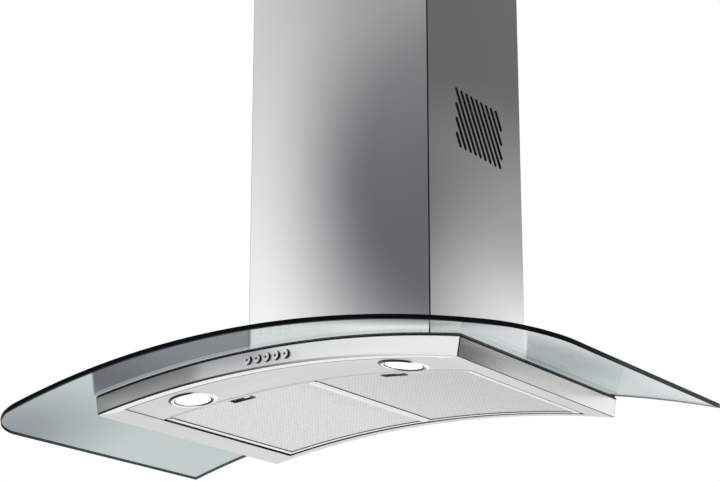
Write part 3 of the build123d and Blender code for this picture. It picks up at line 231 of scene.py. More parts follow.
def sheet(name, loops, columns, rows, place, thickness, arris, body, materials, replaces=(), choose=None):
    """A sheet cut from a flat pattern and folded into place.

    loops holds the outline, counterclockwise, and the holes, clockwise.  The pattern between them is filled
    with triangles on the columns and rows, and place(s, t, h) carries a pattern point to the height h over the
    outer face.  The rim turns from the outer face to the inner one along two rounded arrises.  choose gives each
    triangle of the outer face its material from the pattern point at its middle; the rim has the last one.
    """
    cut = [inset(loop, arris) for loop in loops]
    flat, triangles = filled(cut, columns, rows)

    def at(loop, height):
        return place(*loop.T, np.full(len(loop), height))

    def up(loop):
        return unit(at(loop, 1.0) - at(loop, 0.0))

    points, normals = [at(flat, 0.0), at(flat, -thickness)], [up(flat), -up(flat)]
    faces = [triangles, triangles[:, ::-1] + len(flat)]
    chosen = np.zeros(len(triangles), dtype=int) if choose is None else choose(flat[triangles].mean(axis=1))
    picks = [chosen, np.full(len(triangles), chosen.max() + (choose is not None))]
    total, first, soft = 2 * len(flat), 0, 0.29 * arris
    for loop, flush in zip(loops, cut):
        n = len(loop)
        near, tilt, outward = inset(loop, soft), up(loop), unit(at(loop, 0.0) - at(flush, 0.0))
        ids = [first + np.arange(n)]
        for edge, drop, lean in (
            (near, soft, tilt + outward), (loop, arris, outward),
            (loop, thickness - arris, outward), (near, thickness - soft, outward - tilt),
        ):
            points.append(at(edge, -drop))
            normals.append(unit(lean))
            ids.append(total + np.arange(n))
            total += n
        ids.append(len(flat) + first + np.arange(n))
        for upper, lower in zip(ids[:-1], ids[1:]):
            faces.append(stack(upper, lower, np.roll(lower, -1), np.roll(upper, -1)))
            picks.append(np.full(n, len(materials) - 1))
        first += n
    points, normals = np.vstack(points), np.vstack(normals)
    faces = facing_out(points, faces)
    listed = [face for part in faces for face in part.tolist()]
    add_object(name, points, listed, body, materials, np.concatenate(picks), normals, replaces)


def folded(corners, bend, steps=7):
    """A folded line: straight runs joined by arcs of radius bend.  Gives lengths, points and normals to its left."""
    corners = np.asarray(corners, dtype=float)
    points, normals = [corners[0]], []
    for before, corner, after in zip(corners[:-2], corners[1:-1], corners[2:]):
        go, leave = unit(np.array([corner - before, after - corner]))
        left = np.array([-go[1], go[0]])
        turn = np.arctan2(left @ leave, go @ leave)
        side = np.sign(turn) * bend
        hub = corner - bend * np.tan(abs(turn) / 2) * go + side * left
        angles = np.linspace(0, turn, steps)[:, None]
        leans = np.cos(angles) * left - np.sin(angles) * go
        points += list(hub - side * leans)
        normals += list(leans)
    points = np.array([*points, corners[-1]])
    lengths = np.concatenate(([0], np.cumsum(np.linalg.norm(np.diff(points, axis=0), axis=1))))
    return lengths, points, np.array([normals[0], *normals, normals[-1]])


def along(lengths, table, s):
    """Rows of a table read at the lengths s, by straight-line interpolation."""
    return np.column_stack([np.interp(s, lengths, column) for column in table.T])


# -------- layers of the arch
def arch(turn, depth, radius):
    """Point at an angle from the vertical, a depth from the wall and a radius from the arch's axis."""
    return stack(radius * np.sin(turn), -depth, AXIS_Z + radius * np.cos(turn))


def axes(turn):
    """Directions along the arch and up its radius, at an angle from the vertical."""
    return stack(np.cos(turn), 0, -np.sin(turn)), stack(np.sin(turn), 0, np.cos(turn))


def span(x):
    """Length along the underside from the middle to x."""
    return UNDER_R * np.arcsin(np.asarray(x) / UNDER_R)


def under(base):
    """Pattern of a sheet on the arch whose outer face looks down: s along the underside, t the depth."""
    return lambda s, t, h: arch(s / UNDER_R, t, base - h)


def local(x, depth, base):
    """Origin and axes of a piece square to the arch at x: along the arch, into the wall and up the radius."""
    turn = np.arcsin([x / UNDER_R])
    across, upwards = axes(turn)
    return arch(turn, depth, base)[0], across[0], np.array([0, 1.0, 0]), upwards[0]


def ring(loop, height, lean):
    """Points and normals of a border on the arch, height above the underside.  The normal leans from straight out
    of the border, 0, to straight up, 90, or down, -90; at 180 it looks into the border."""
    turn, lean = loop[:, 0] / UNDER_R, np.radians(lean)
    away = unit(loop - inset(loop, 0.5))
    across, upwards = axes(turn)
    outward = away[:, :1] * across + away[:, 1:] * np.array([0, -1.0, 0])
    return arch(turn, loop[:, 1], UNDER_R + height), np.cos(lean) * outward + np.sin(lean) * upwards


def rings_at(*rows):
    """Rings from rows of a border, a height and a lean."""
    return [ring(*row) for row in rows]


def spread(first, last, shares, height, lean):
    """Rings at shares of the way from one border to another."""
    return [ring(first * (1 - k) + last * k, height, lean) for k in shares]


def bent(outline, amount, height, start, lift, steps=5):
    """Rings of a rounded edge: a quarter arc of radius amount, from the lean start, along the outline."""
    rings = []
    for lean in np.linspace(start, start + lift, steps):
        out, up = np.cos(np.radians(lean)), np.sin(np.radians(lean))
        rings.append(ring(inset(outline, amount * (1 - out)), height + amount * up, lean))
    return rings


def loft(name, rings, body, materials, replaces=(), extra=(), skip=None, choose=None):
    """Closed surface through rings that match point for point, the last joined to the first.

    extra holds patches of points, normals and faces; skip tells which of the quads they stand for.  choose gives
    each face its material from the point at its middle and the direction that it looks in.
    """
    count = len(rings[0][0])
    points = np.vstack([part[0] for part in rings])
    normals = np.vstack([part[1] for part in rings])
    faces = [between(len(rings), count, ring=True)]
    if skip is not None:
        faces = [faces[0][~skip(*np.divmod(np.arange(len(points)), count))]]
    for more_points, more_normals, more_faces in extra:
        faces.append(more_faces + len(points))
        points, normals = np.vstack((points, more_points)), np.vstack((normals, more_normals))
    oriented = []
    for part in faces:
        a, b, c, d = (points[part[:, k]] for k in (0, 1, 2, -1))
        wrong = np.einsum("ij,ij->i", np.cross(c - a, d - b), normals[part].mean(axis=1)) < 0
        oriented.append(np.where(wrong[:, None], part[:, ::-1], part))
    points, listed, normals = weld(points, oriented, normals)
    picks = None if choose is None else choose(means(points, listed), unit(means(normals, listed)))
    add_object(name, points, listed, body, materials, picks, normals, replaces)


def lathe(name, profile, frame_at, body, materials, replaces=(), count=96, closed=False, choose=None):
    """Piece turned on a lathe.  profile holds radii and heights along the axis; its ends lie on the axis, or it is
    closed.  choose gives each face its material from the radius and the height at its middle."""
    origin, u, v, w = frame_at
    turn = np.arange(count) * 2 * np.pi / count
    spokes = np.cos(turn)[:, None] * u + np.sin(turn)[:, None] * v
    points = (origin + profile[:, 0, None, None] * spokes + profile[:, 1, None, None] * w).reshape(-1, 3)
    points, listed, _ = weld(points, facing_out(points, [between(len(profile), count, ring=closed)]))
    picks = None
    if choose is not None:
        middles = means(points, listed) - origin
        picks = choose(np.hypot(middles @ u, middles @ v), middles @ w)
    add_object(name, points, listed, body, materials, picks, None, replaces)


# -------- finishes
def rgba(levels):
    """Linear colour that shows as a grey level from 0 to 255, or as three such levels."""
    share = np.broadcast_to(levels, 3) / 255
    return (*np.where(share > 0.04045, ((share + 0.055) / 1.055) ** 2.4, share / 12.92).tolist(), 1)


class Tree:
    """Node tree with short ways to add nodes."""

    def __init__(self, tree):
        self.nodes, self.links = tree.nodes, tree.links

    def fill(self, node, inputs):
        """Links a node's inputs to sockets, or sets them to values."""
        for name, value in inputs.items():
            if isinstance(value, bpy.types.NodeSocket):
                self.links.new(value, node.inputs[name])
            else:
                node.inputs[name].default_value = value

    def add(self, kind, inputs=(), **settings):
        """Adds a node and gives its outputs."""
        node = self.nodes.new(kind)
        for name, value in settings.items():
            setattr(node, name, value)
        self.fill(node, dict(inputs))
        return node.outputs

    def math(self, operation, *values, kind="ShaderNodeMath"):
        return self.add(kind, enumerate(values), operation=operation)

    def vector(self, operation, *values):
        return self.math(operation, *values, kind="ShaderNodeVectorMath")

    def seen(self):
        """1 for camera, glossy and transmitted rays, which see the background, and 0 for light that falls on things."""
        path = self.add("ShaderNodeLightPath")
        seen = path["Is Camera Ray"]
        for kind in ("Is Glossy Ray", "Is Transmission Ray"):
            seen = self.math("MAXIMUM", seen, path[kind])[0]
        return seen


class Recipe(Tree):
    """One material: its Principled shader and the patterns that feed it."""

    def __init__(self, name, levels, metallic=0.0, roughness=0.5, **more):
        self.material = bpy.data.materials.new(name)
        self.material.use_nodes = True
        super().__init__(self.material.node_tree)
        self.shader = self.nodes["Principled BSDF"]
        self.feed(Base_Color=rgba(levels), Metallic=metallic, Roughness=roughness, **more)
        self.place = self.add("ShaderNodeTexCoord")["Object"]

    def feed(self, **inputs):
        """Inputs of the shader, with an underscore for each space in their names."""
        self.fill(self.shader, {name.replace("_", " "): value for name, value in inputs.items()})

    def scaled(self, scale):
        return self.add("ShaderNodeMapping", {"Vector": self.place, "Scale": scale})[0]

    def noise(self, stretch, detail=3.0, roughness=0.6):
        """Noise between 0 and 1 with that many waves to the metre, along all axes or along each."""
        spread = self.scaled(np.broadcast_to(stretch, 3).tolist())
        inputs = {"Vector": spread, "Scale": 1.0, "Detail": detail, "Roughness": roughness}
        return self.add("ShaderNodeTexNoise", inputs)[0]

    def ranged(self, source, low, high, start, end, kind="LINEAR"):
        """Goes from start to end as the source goes from low to high."""
        names = ("Value", "From Min", "From Max", "To Min", "To Max")
        inputs = zip(names, (source, low, high, start, end))
        return self.add("ShaderNodeMapRange", inputs, interpolation_type=kind)[0]

    def mixed(self, share, first, second, blend="MIX"):
        """Colour mix; first and second are colours or sockets."""
        return self.add("ShaderNodeMix", {"Factor": share, 6: first, 7: second}, data_type="RGBA", blend_type=blend)[2]

    def sloped(self, levels, fields):
        """Colour with soft patches or slopes, which paint light, shade and reflections into it.  Each field has a scale
        for the three axes, a point, the distances from it, so scaled, at which the patch is full and at which it ends,
        and its levels, with a smooth step between the two.  Where the first distance is the larger, the patch lies
        outside.  One more value, True, makes the patch a box."""
        shade = rgba(levels)
        for scale, point, near, far, patch, *square in fields:
            share = self.ranged(self.away(scale, point, square), near, far, 1, 0, "SMOOTHSTEP")
            shade = self.mixed(share, shade, rgba(patch))
        return shade

    def away(self, scale, point, square):
        """Distance from a point of the object, in space scaled that much along the three axes.  A square distance is
        the larger of the offsets along x and y."""
        here, there = self.scaled(scale), tuple(s * p for s, p in zip(scale, point))
        if not square:
            return self.vector("DISTANCE", here, there)["Value"]
        offset = self.vector("ABSOLUTE", self.vector("SUBTRACT", here, there)[0])[0]
        parts = self.add("ShaderNodeSeparateXYZ", {"Vector": offset})
        return self.math("MAXIMUM", parts[0], parts[1])[0]

    def facing(self, direction, low, high):
        """Share from 0 to 1 of how much the surface looks along a direction of the object."""
        looks = self.add("ShaderNodeTexCoord")["Normal"]
        return self.ranged(self.vector("DOT_PRODUCT", looks, direction)["Value"], low, high, 0, 1, "SMOOTHSTEP")

    def worn(self, source, low, high):
        """Roughness that a noise moves from low to high."""
        self.feed(Roughness=self.ranged(source, 0.3, 0.7, low, high))

    def bump(self, height, strength, distance):
        inputs = {"Height": height, "Strength": strength, "Distance": distance}
        self.feed(Normal=self.add("ShaderNodeBump", inputs)[0])


def plain(name, levels, metallic, roughness, stretch, rough_swing, colour_swing, bump=0.0, **more):
    """Everyday finish: noise along the grain moves the roughness and the colour a little and lifts the surface."""
    recipe = Recipe(name, levels, metallic, roughness, **more)
    fine, broad = recipe.noise(stretch), recipe.noise(0.02 * np.asarray(stretch) + 6, 2.0)
    low, high = max(roughness - rough_swing, 0.02), roughness + rough_swing
    recipe.feed(Roughness=recipe.ranged(fine, 0.25, 0.75, low, high))
    colour = np.array(rgba(levels)[:3])
    ends = [(*np.minimum(colour * (1 + swing), 1).tolist(), 1) for swing in (-colour_swing, colour_swing)]
    recipe.feed(Base_Color=recipe.mixed(recipe.ranged(broad, 0.3, 0.7, 0, 1), *ends))
    if bump:
        recipe.bump(fine, bump, 0.0004)
    return recipe.material


def brushed(name, stretch, roughness, levels, fields=(), streaks=0.025):
    """Brushed stainless steel: hairlines along the grain move its roughness, its colour and, a very little, its
    surface, over soft slopes of grey painted into its colour as the reflections of a broad light."""
    recipe = Recipe(name, levels, 1.0, roughness, Anisotropic=0.3)
    fine = recipe.noise(stretch, 4.0, 0.7)
    recipe.worn(fine, roughness * 0.85, roughness * 1.15)
    streak = recipe.ranged(fine, 0.25, 0.75, 1 - streaks, 1 + streaks)
    tint = recipe.add("ShaderNodeCombineColor", dict.fromkeys(("Red", "Green", "Blue"), streak))[0]
    recipe.feed(Base_Color=recipe.mixed(1.0, recipe.sloped(levels, fields), tint, "MULTIPLY"))
    recipe.bump(fine, 0.02, 0.00004)
    return recipe.material


def turned(name, bright, dark, metallic, roughness, stretch, direction, low, high):
    """Smooth metal that mirrors a bright studio, with a dark colour painted where it looks along a direction."""
    recipe = Recipe(name, bright, metallic)
    recipe.worn(recipe.noise(stretch), *roughness)
    recipe.feed(Base_Color=recipe.mixed(recipe.facing(direction, low, high), rgba(bright), rgba(dark)))
    return recipe.material


# The points and distances of the fields are in metres, and so are the radii of the arch that they use.
ALONG, ROUND, FLAT = (1, 0, 0), (1, 0, 1), (1, 1, 0)
ARCH_AXIS, LOW, HIGH = (0, 0, AXIS_Z * 0.001), UNDER_R * 0.001, TOP_R * 0.001
GRAIN_X, GRAIN_Y, GRAIN_Z = (14, 900, 900), (900, 10, 900), (900, 900, 12)

# Painted reflection and shade on the front panel: greyer towards the left end, a painted highlight at the right corner,
# a painted dark line along the bottom that fades towards the right, and a painted black line of shade along the top
# under the glass.
steel_panel = brushed("steel_front_panel", GRAIN_X, 0.5, 254, (
    (ALONG, (-0.21, 0, 0), 0.07, 0.115, (208, 206, 203)),
    (ALONG, (-0.30, 0, 0), 0.0, 0.07, (180, 177, 172)),
    (ALONG, (0.2895, 0, 0), 0.0016, 0.0034, 250),
    (ROUND, ARCH_AXIS, LOW + 0.0026, LOW + 0.0042, 66),
    (ALONG, (0.35, 0, 0), 0.06, 0.5, 254),
    (ROUND, ARCH_AXIS, HIGH - 0.0022, HIGH - 0.0034, 30),
))
# Painted reflection on the side panels: darker at the front and lighter towards the wall, with a painted black line of
# shade along the top under the glass.
steel_flank = brushed("steel_side_panel", GRAIN_Y, 0.3, (255, 245, 243), (
    ((0, 1, 0), (0, -0.412, 0), 0.0, 0.151, (156, 149, 144)),
    ((0, 0.673, 0), (0, 0.075, 0), 0.0, 0.182, 238),
    (ROUND, ARCH_AXIS, HIGH - 0.0026, HIGH - 0.0038, 14),
), 0.04)
steel_under = brushed("steel_underside", GRAIN_X, 0.36, 226)
# The underside's strip before the opening is a brighter copy of the underside's steel: a painted highlight.
steel_lip_highlight = brushed("steel_lip_painted_highlight", GRAIN_X, 0.3, 250)
steel_top = brushed("steel_top", GRAIN_X, 0.34, 215)
# Near black steel for rounded edges, bends and the lamp bezels' inner edge: painted dark reflection and painted shade.
steel_painted_dark = brushed("steel_painted_dark", 60, 0.4, 26)
# The front panel's lower bend: a painted dark line of reflected shade, lighter towards the right.
steel_edge = brushed("steel_lower_edge", 60, 0.4, 30, ((ALONG, (0.35, 0, 0), 0.05, 0.5, 140),))
# A strip of painted shade, standing for the shadow gap at the opening's front edge and round the filters' mesh.
steel_painted_gap_shade = brushed("steel_painted_gap_shade", 60, 0.4, 48)
# A darker copy of the steel for faces inside the housing and for the covers' inner faces and cut edges: painted shade.
steel_inner = brushed("steel_inner_face", 60, 0.45, 120)
# Painted reflections on the chimney's front: a broad bright patch low on the left, a dark patch on the right, a grey
# one above it, and white at the foot by the glass.
steel_chimney = brushed("steel_chimney_front", GRAIN_Z, 0.32, 212, (
    ((0.956, 0, 1), (-0.172, 0, -0.348), 0.146, 0.722, 252),
    ((0.657, 0, 0.491), (0.187, 0, 0.14), 0.081, 0.223, (103, 105, 108)),
    ((0.705, 0, 0.432), (0.101, 0, 0.627), 0.013, 0.25, 155),
    (ROUND, (-0.3665, 0, -3.0331), 2.994, 3.006, 255),
))
# Painted reflections on the chimney's sides: dark above, lighter towards the wall and near white low by the glass.
steel_chimney_side = brushed("steel_chimney_side", GRAIN_Z, 0.32, 92, (
    ((0, 0.7, 1), (0, 0.084, -0.137), 0.041, 0.363, 252),
    ((0, 0.249, 0.972), (0, 0.328, 0.154), 0.0, 0.201, 164),
    ((0, 1, 1), (0, 0.5149, -2.9834), 2.995, 3.005, 240),
), 0.03)
# The upper cover is painted near black round its foot, inside the lower cover behind its slots: painted shade.
steel_upper = brushed("steel_upper", GRAIN_Z, 0.32, 200, (((0, 0, 1), (0, 0, 0.268), 0.02, 0.022, 8),))
steel_filter = brushed("steel_filter", 500, 0.34, 252, streaks=0.01)
mark_steel = brushed("engraved_mark", 300, 0.4, 60)
# Chrome of the lamp bezels, painted dark where it looks to the front and the left: a painted dark reflection.
chrome = turned("bright_chrome", 252, (50, 44, 40), 1.0, (0.05, 0.12), 300, (-0.66, -0.75, 0), 0.0, 0.09)
# Steel of the push buttons, painted near black where it looks to the right and down: painted shade on the caps' side.
button_steel = turned("turned_steel", 250, 16, 0.5, (0.34, 0.46), (900, 40, 900), (0.93, 0, -0.37), 0.2, 0.5)
# The finger pockets' steel is darker than the filters': painted shade of the recess.
pocket_steel = plain("pocket_steel", 118, 1.0, 0.35, 300, 0.08, 0.1, 0.04)
# Near black for the sheet behind the vent slots: painted shade.
vent_shade_black = plain("black_vent_shade", 12, 0.0, 0.7, 400, 0.08, 0.2, 0.05, Specular_IOR_Level=0.1)


def glass_finish():
    """Bent safety glass: a little grey-green, with the faint waves of bending in its surface.  Its colour carries
    painted reflections, slanted light and dark bands of a studio and the housing's front mirrored as a dark band at the
    left, and a painted black line of shade along its front edge."""
    clear = (194, 204, 203)
    recipe = Recipe("bent_glass", clear, IOR=1.04, Transmission_Weight=1.0)
    recipe.feed(Base_Color=recipe.sloped(clear, (
        (ALONG, (0.47, 0, 0), 0.0, 0.12, (212, 219, 219)),
        ((1, 0.7, 0), (0.32, -0.30, 0), 0.05, 0.17, (156, 168, 171)),
        (FLAT, (-3.1105, -2.3515, 0), 3.998, 4.002, (226, 233, 234)),
        (FLAT, (-3.0635, -2.5847, 0), 3.998, 4.002, (232, 239, 237)),
        (ALONG, (0, 0, 0), 0.10, 0.17, (213, 222, 220)),
        (FLAT, (-3.1744, -2.8810, 0), 3.998, 4.002, (130, 135, 141)),
        (FLAT, (-0.30, -0.47, 0), 0.03, 0.22, (104, 108, 113)),
        (FLAT, (-3.3527, -2.9948, 0), 3.998, 4.002, clear),
        ((2.2472, 3.2680, 0), (-0.155, -0.1055, 0), 0.995, 1.003, clear, True),
        (FLAT, (-0.46, -0.42, 0), 0.0, 0.23, (146, 152, 156)),
        (FLAT, (0, 7.304, 0), 7.7905, 7.7888, (6, 8, 8)),
    )))
    recipe.bump(recipe.noise(5, 1.0), 0.04, 0.002)
    recipe.feed(Roughness=recipe.ranged(recipe.noise(30, 3.0), 0.35, 0.8, 0.0, 0.015))
    return recipe.material


def glass_rim_finish():
    """Ground edge of the glass: nearly black green along the front and the right, and painted paler on the left and at
    the wall, a painted highlight where light falls on it.
    """
    recipe = Recipe("glass_rim", (8, 12, 14), Specular_IOR_Level=0.02)
    recipe.worn(recipe.noise(200), 0.08, 0.2)
    recipe.feed(Base_Color=recipe.sloped((8, 12, 14), (
        ((0, 1, 0), (0, 0, 0), 0.405, 0.43, (112, 126, 128)),
        ((10, 3.5714, 0), (0.45, -0.285, 0), 0.98, 1.0, (14, 19, 22), True),
    )))
    return recipe.material


def mesh_finish():
    """Expanded aluminium mesh: the product of a cosine along each axis makes rows of openings, each shifted by half."""
    recipe = Recipe("filter_mesh", 226, 0.75)
    parts = recipe.add("ShaderNodeSeparateXYZ", {"Vector": recipe.place})
    waves = []
    for axis, pitch in (("X", 0.0052), ("Y", 0.0074)):
        waves.append(recipe.math("COSINE", recipe.math("MULTIPLY", parts[axis], 2 * np.pi / pitch)[0])[0])
    weave = recipe.math("MULTIPLY", *waves)[0]
    hole = recipe.ranged(weave, -0.4, 0.4, 1, 0, "SMOOTHSTEP")
    grain = recipe.ranged(recipe.noise((300, 210, 300), 2.0), 0.38, 0.62, 0.0, 0.45)
    wire = recipe.mixed(grain, recipe.mixed(hole, rgba(250), rgba(242)), rgba(220))
    # A broad patch of painted shade darkens the mesh towards the right filter's front.
    slope = recipe.sloped(255, [((1, 0.4, 0), (0.30, -0.28, 0), 0.05, 0.4, 234)])
    recipe.feed(Base_Color=recipe.mixed(1.0, wire, slope, "MULTIPLY"), Roughness=recipe.ranged(hole, 0, 1, 0.34, 0.6))
    recipe.bump(weave, 0.15, 0.0004)
    return recipe.material


def lens_finish():
    """Frosted lamp glass, lit from behind."""
    recipe = Recipe("lit_lens", 250, Emission_Color=(1, 1, 0.985, 1), Emission_Strength=0.75)
    recipe.worn(recipe.noise(250), 0.22, 0.4)
    recipe.bump(recipe.noise(700), 0.1, 0.0003)
    return recipe.material


glass, glass_rim, mesh_steel, lit_lens = glass_finish(), glass_rim_finish(), mesh_finish(), lens_finish()


# -------- glass canopy
def glass_outline():
    """Straight back and sides, a front edge that is one shallow arc, and the front corners' arcs tangent to both."""
    half, side = GLASS_WIDTH / 2, GLASS_WIDTH / 2 - GLASS_CORNER
    front_r = (half ** 2 + GLASS_BOW ** 2) / (2 * GLASS_BOW)
    hub = GLASS_DEPTH - front_r
    reach = front_r - GLASS_CORNER
    corner_y = hub + np.sqrt(reach ** 2 - side ** 2)
    turn = np.degrees(np.arcsin(side / reach))
    back = np.linspace(-half, half, 151)
    back = back[np.abs(back) > NOTCH_HALF + 3]
    bend, flat = 10.0, np.linspace(12 - NOTCH_HALF, NOTCH_HALF - 12, 43)
    return np.vstack((
        stack(back[back < 0], 0), [[-NOTCH_HALF, 0.0]],
        arc((bend - NOTCH_HALF, NOTCH_FRONT - bend), bend, 180, 90, 9), stack(flat, NOTCH_FRONT),
        arc((NOTCH_HALF - bend, NOTCH_FRONT - bend), bend, 90, 0, 9), [[NOTCH_HALF, 0.0]],
        stack(back[back > 0], 0), arc((side, corner_y), GLASS_CORNER, 0, 90 - turn, 19),
        arc((0, hub), front_r, 90 - turn, 90 + turn, 121)[1:-1],
        arc((-side, corner_y), GLASS_CORNER, 90 + turn, 180, 19),
    ))


def on_glass(x, depth, height):
    """Pattern of the glass: x and depth as seen from above, height over the bent outer face."""
    return arch(np.arcsin(x / GLASS_R), depth, GLASS_R + height)


sheet(
    "glass_canopy", [glass_outline()], np.linspace(-444, 444, 149), np.linspace(12, 480, 14), on_glass,
    GLASS_T, 1.1, "hood", [glass, glass_rim], ["canopy_glass"],
)

# -------- housing
LONG, SIDE = np.linspace(0, 1, 97)[1:-1], np.linspace(0, 1, 17)[1:-1]


def housing():
    """Thin shell whose rings run from the underside's opening out to the walls, up them, in over the top to the air
    opening, and back along the inside.  The front wall's five button holes are patches between two of its rings."""
    def at(half, rear, front):
        return border((-half, rear), (half, front), 1.6, LONG, SIDE)

    outline = at(S_HALF, 0.0, DEPTH)
    mouth = at(span(OPENING_HALF), OPENING_REAR, OPENING_FRONT)
    air = at(AIR_HALF, AIR_REAR, AIR_FRONT)
    edge, wall = 1.3, 1.05
    lows, highs = 4.0, DEEP - 4.0
    flush, inner, bead = inset(outline, edge), inset(outline, wall), inset(mouth, -2.3)
    fifteenths = np.linspace(0, 1, 16)[1:]
    rings = rings_at((mouth, 0.7, 180), (mouth, 0.3, 180), (inset(mouth, -0.3), 0.0, -90), (bead, 0.0, -90))
    rings += spread(bead, flush, (0.25, 0.5, 0.75), 0.0, -90) + bent(outline, edge, edge, -90, 90)
    front_row = len(rings)
    rings += rings_at((outline, lows, 0), (outline, highs, 0)) + bent(outline, edge, DEEP - edge, 0, 90)
    rings += spread(flush, air, fifteenths, DEEP, 90) + rings_at((air, DEEP - SHEET, -90))
    rings += spread(air, inner, fifteenths, DEEP - SHEET, -90)
    back_row = len(rings)
    rings += rings_at((inner, highs, 180), (inner, lows, 180), (inner, SHEET, 90))
    rings += spread(inner, mouth, (0.5, 1.0), SHEET, 90)

    held = np.flatnonzero((np.abs(outline[:, 0]) < 43) & (outline[:, 1] > DEPTH - 0.1))
    across = np.sort(outline[held, 0])
    patch = np.vstack((stack(across, lows), stack(across[::-1], highs)))
    heights = BUTTON_HIGH + BUTTON_XS ** 2 / (2 * BUTTON_HIGH) - UNDER_R
    centres = list(zip(span(BUTTON_XS), heights))
    bore, arris, extra = BUTTON_R + 0.45, 0.3, []
    for depth, radius, facing in ((DEPTH, bore + arris, -1.0), (DEPTH - wall, bore, 1.0)):
        holes = [circle(x, h, radius, 40) for x, h in centres]
        flat, triangles = filled([patch] + holes, np.linspace(-40, 40, 27), np.linspace(6, 22, 6))
        points = arch(flat[:, 0] / UNDER_R, depth, UNDER_R + flat[:, 1])
        extra.append((points, np.tile([0, facing, 0], (len(flat), 1)), triangles))
    for x, h in centres:
        sleeve, leans = [], []
        for radius, depth, look in ((bore + arris, DEPTH, 0.0), (bore, DEPTH - arris, 1.0), (bore, DEPTH - wall, 1.0)):
            loop = circle(x, h, radius, 40)
            sleeve.append(arch(loop[:, 0] / UNDER_R, depth, UNDER_R + loop[:, 1]))
            inward = unit(np.array([x, h]) - loop)
            leans.append(stack(look * inward[:, 0], look - 1, look * inward[:, 1]))
        extra.append((np.vstack(sleeve), np.vstack(leans), between(3, 40)))

    cut = np.isin(np.arange(len(outline)), held)
    cut &= np.roll(cut, -1)

    def choose(middles, looks):
        """The first zone that holds a face gives its material, and the near black steel of painted dark reflection
        takes the rest: the rounded edges.
        """
        x, depth = np.abs(middles[:, 0]), -middles[:, 1]
        side, front = np.abs(looks[:, 0]), looks[:, 1]
        radius = np.hypot(x, middles[:, 2] - AXIS_Z)
        low = radius < UNDER_R + 0.35
        within = (x < HALF_WIDTH - 0.9) & (depth > 0.9) & (depth < DEPTH - 0.9)
        zones = (
            (within & (radius > UNDER_R + 0.6) & (radius < TOP_R - 0.6), steel_inner),
            (np.abs(front) > 0.999, steel_panel), (radius > TOP_R - 0.35, steel_top),
            # The strip along the opening's front edge takes painted shade for a gap, the lip before it a painted
            # highlight, and the front panel's lower bend a painted dark line.
            (low & (np.abs(depth - OPENING_FRONT - 1.3) < 0.9) & (x < OPENING_HALF), steel_painted_gap_shade),
            (low & (depth > OPENING_FRONT), steel_lip_highlight), (low, steel_under), (side > 0.96, steel_flank),
            (front < -0.96, steel_panel), ((radius < UNDER_R + 1.6) & (depth > DEPTH - 1.6), steel_edge),
        )
        tests, found = zip(*zones)
        return np.select(tests, [materials.index(finish) for finish in found], materials.index(steel_painted_dark))

    materials = [
        steel_panel, steel_flank, steel_under, steel_lip_highlight, steel_top, steel_painted_dark, steel_inner, steel_painted_gap_shade, steel_edge,
    ]
    loft(
        "housing_shell", rings, "hood", materials, ["canopy_housing"], extra,
        lambda row, column: cut[column] & ((row == front_row) | (row == back_row)), choose,
    )


housing()


# -------- lamp panel
def lamp_panel():
    """Panel folded up along its rear edge into a rib, with the lamps' two holes."""
    front = OPENING_FRONT + 6.0
    lengths, table, normals = folded([(PANEL_REAR, PANEL_RIB), (PANEL_REAR, 0.0), (front, 0.0)], 1.2)

    def place(s, t, h):
        at, lean = along(lengths, table, t), unit(along(lengths, -normals, t))
        depth, height = (at + h[:, None] * lean).T
        return arch(s / UNDER_R, depth, PANEL_R + height)

    half, end = span(OPENING_HALF + 6.0), lengths[-1]
    lamps = np.interp(LAMP_DEPTH, table[-2:, 0], lengths[-2:])
    columns = np.linspace(-half, half, 89)
    rows = np.unique(np.round(np.concatenate((lengths, np.linspace(lengths[-2], end, 9)[1:-1])), 6))
    loops = [border((-half, 0.0), (half, end), 1.2, (columns[1:-1] + half) / (2 * half), rows[1:-1] / end)]
    loops += [circle(side * span(LAMP_X), lamps, LAMP_HOLE_R, 72) for side in (-1, 1)]
    sheet("lamp_plate", loops, columns, rows, place, SHEET, 0.25, "hood", [steel_under], ["lamp_panel"])


lamp_panel()


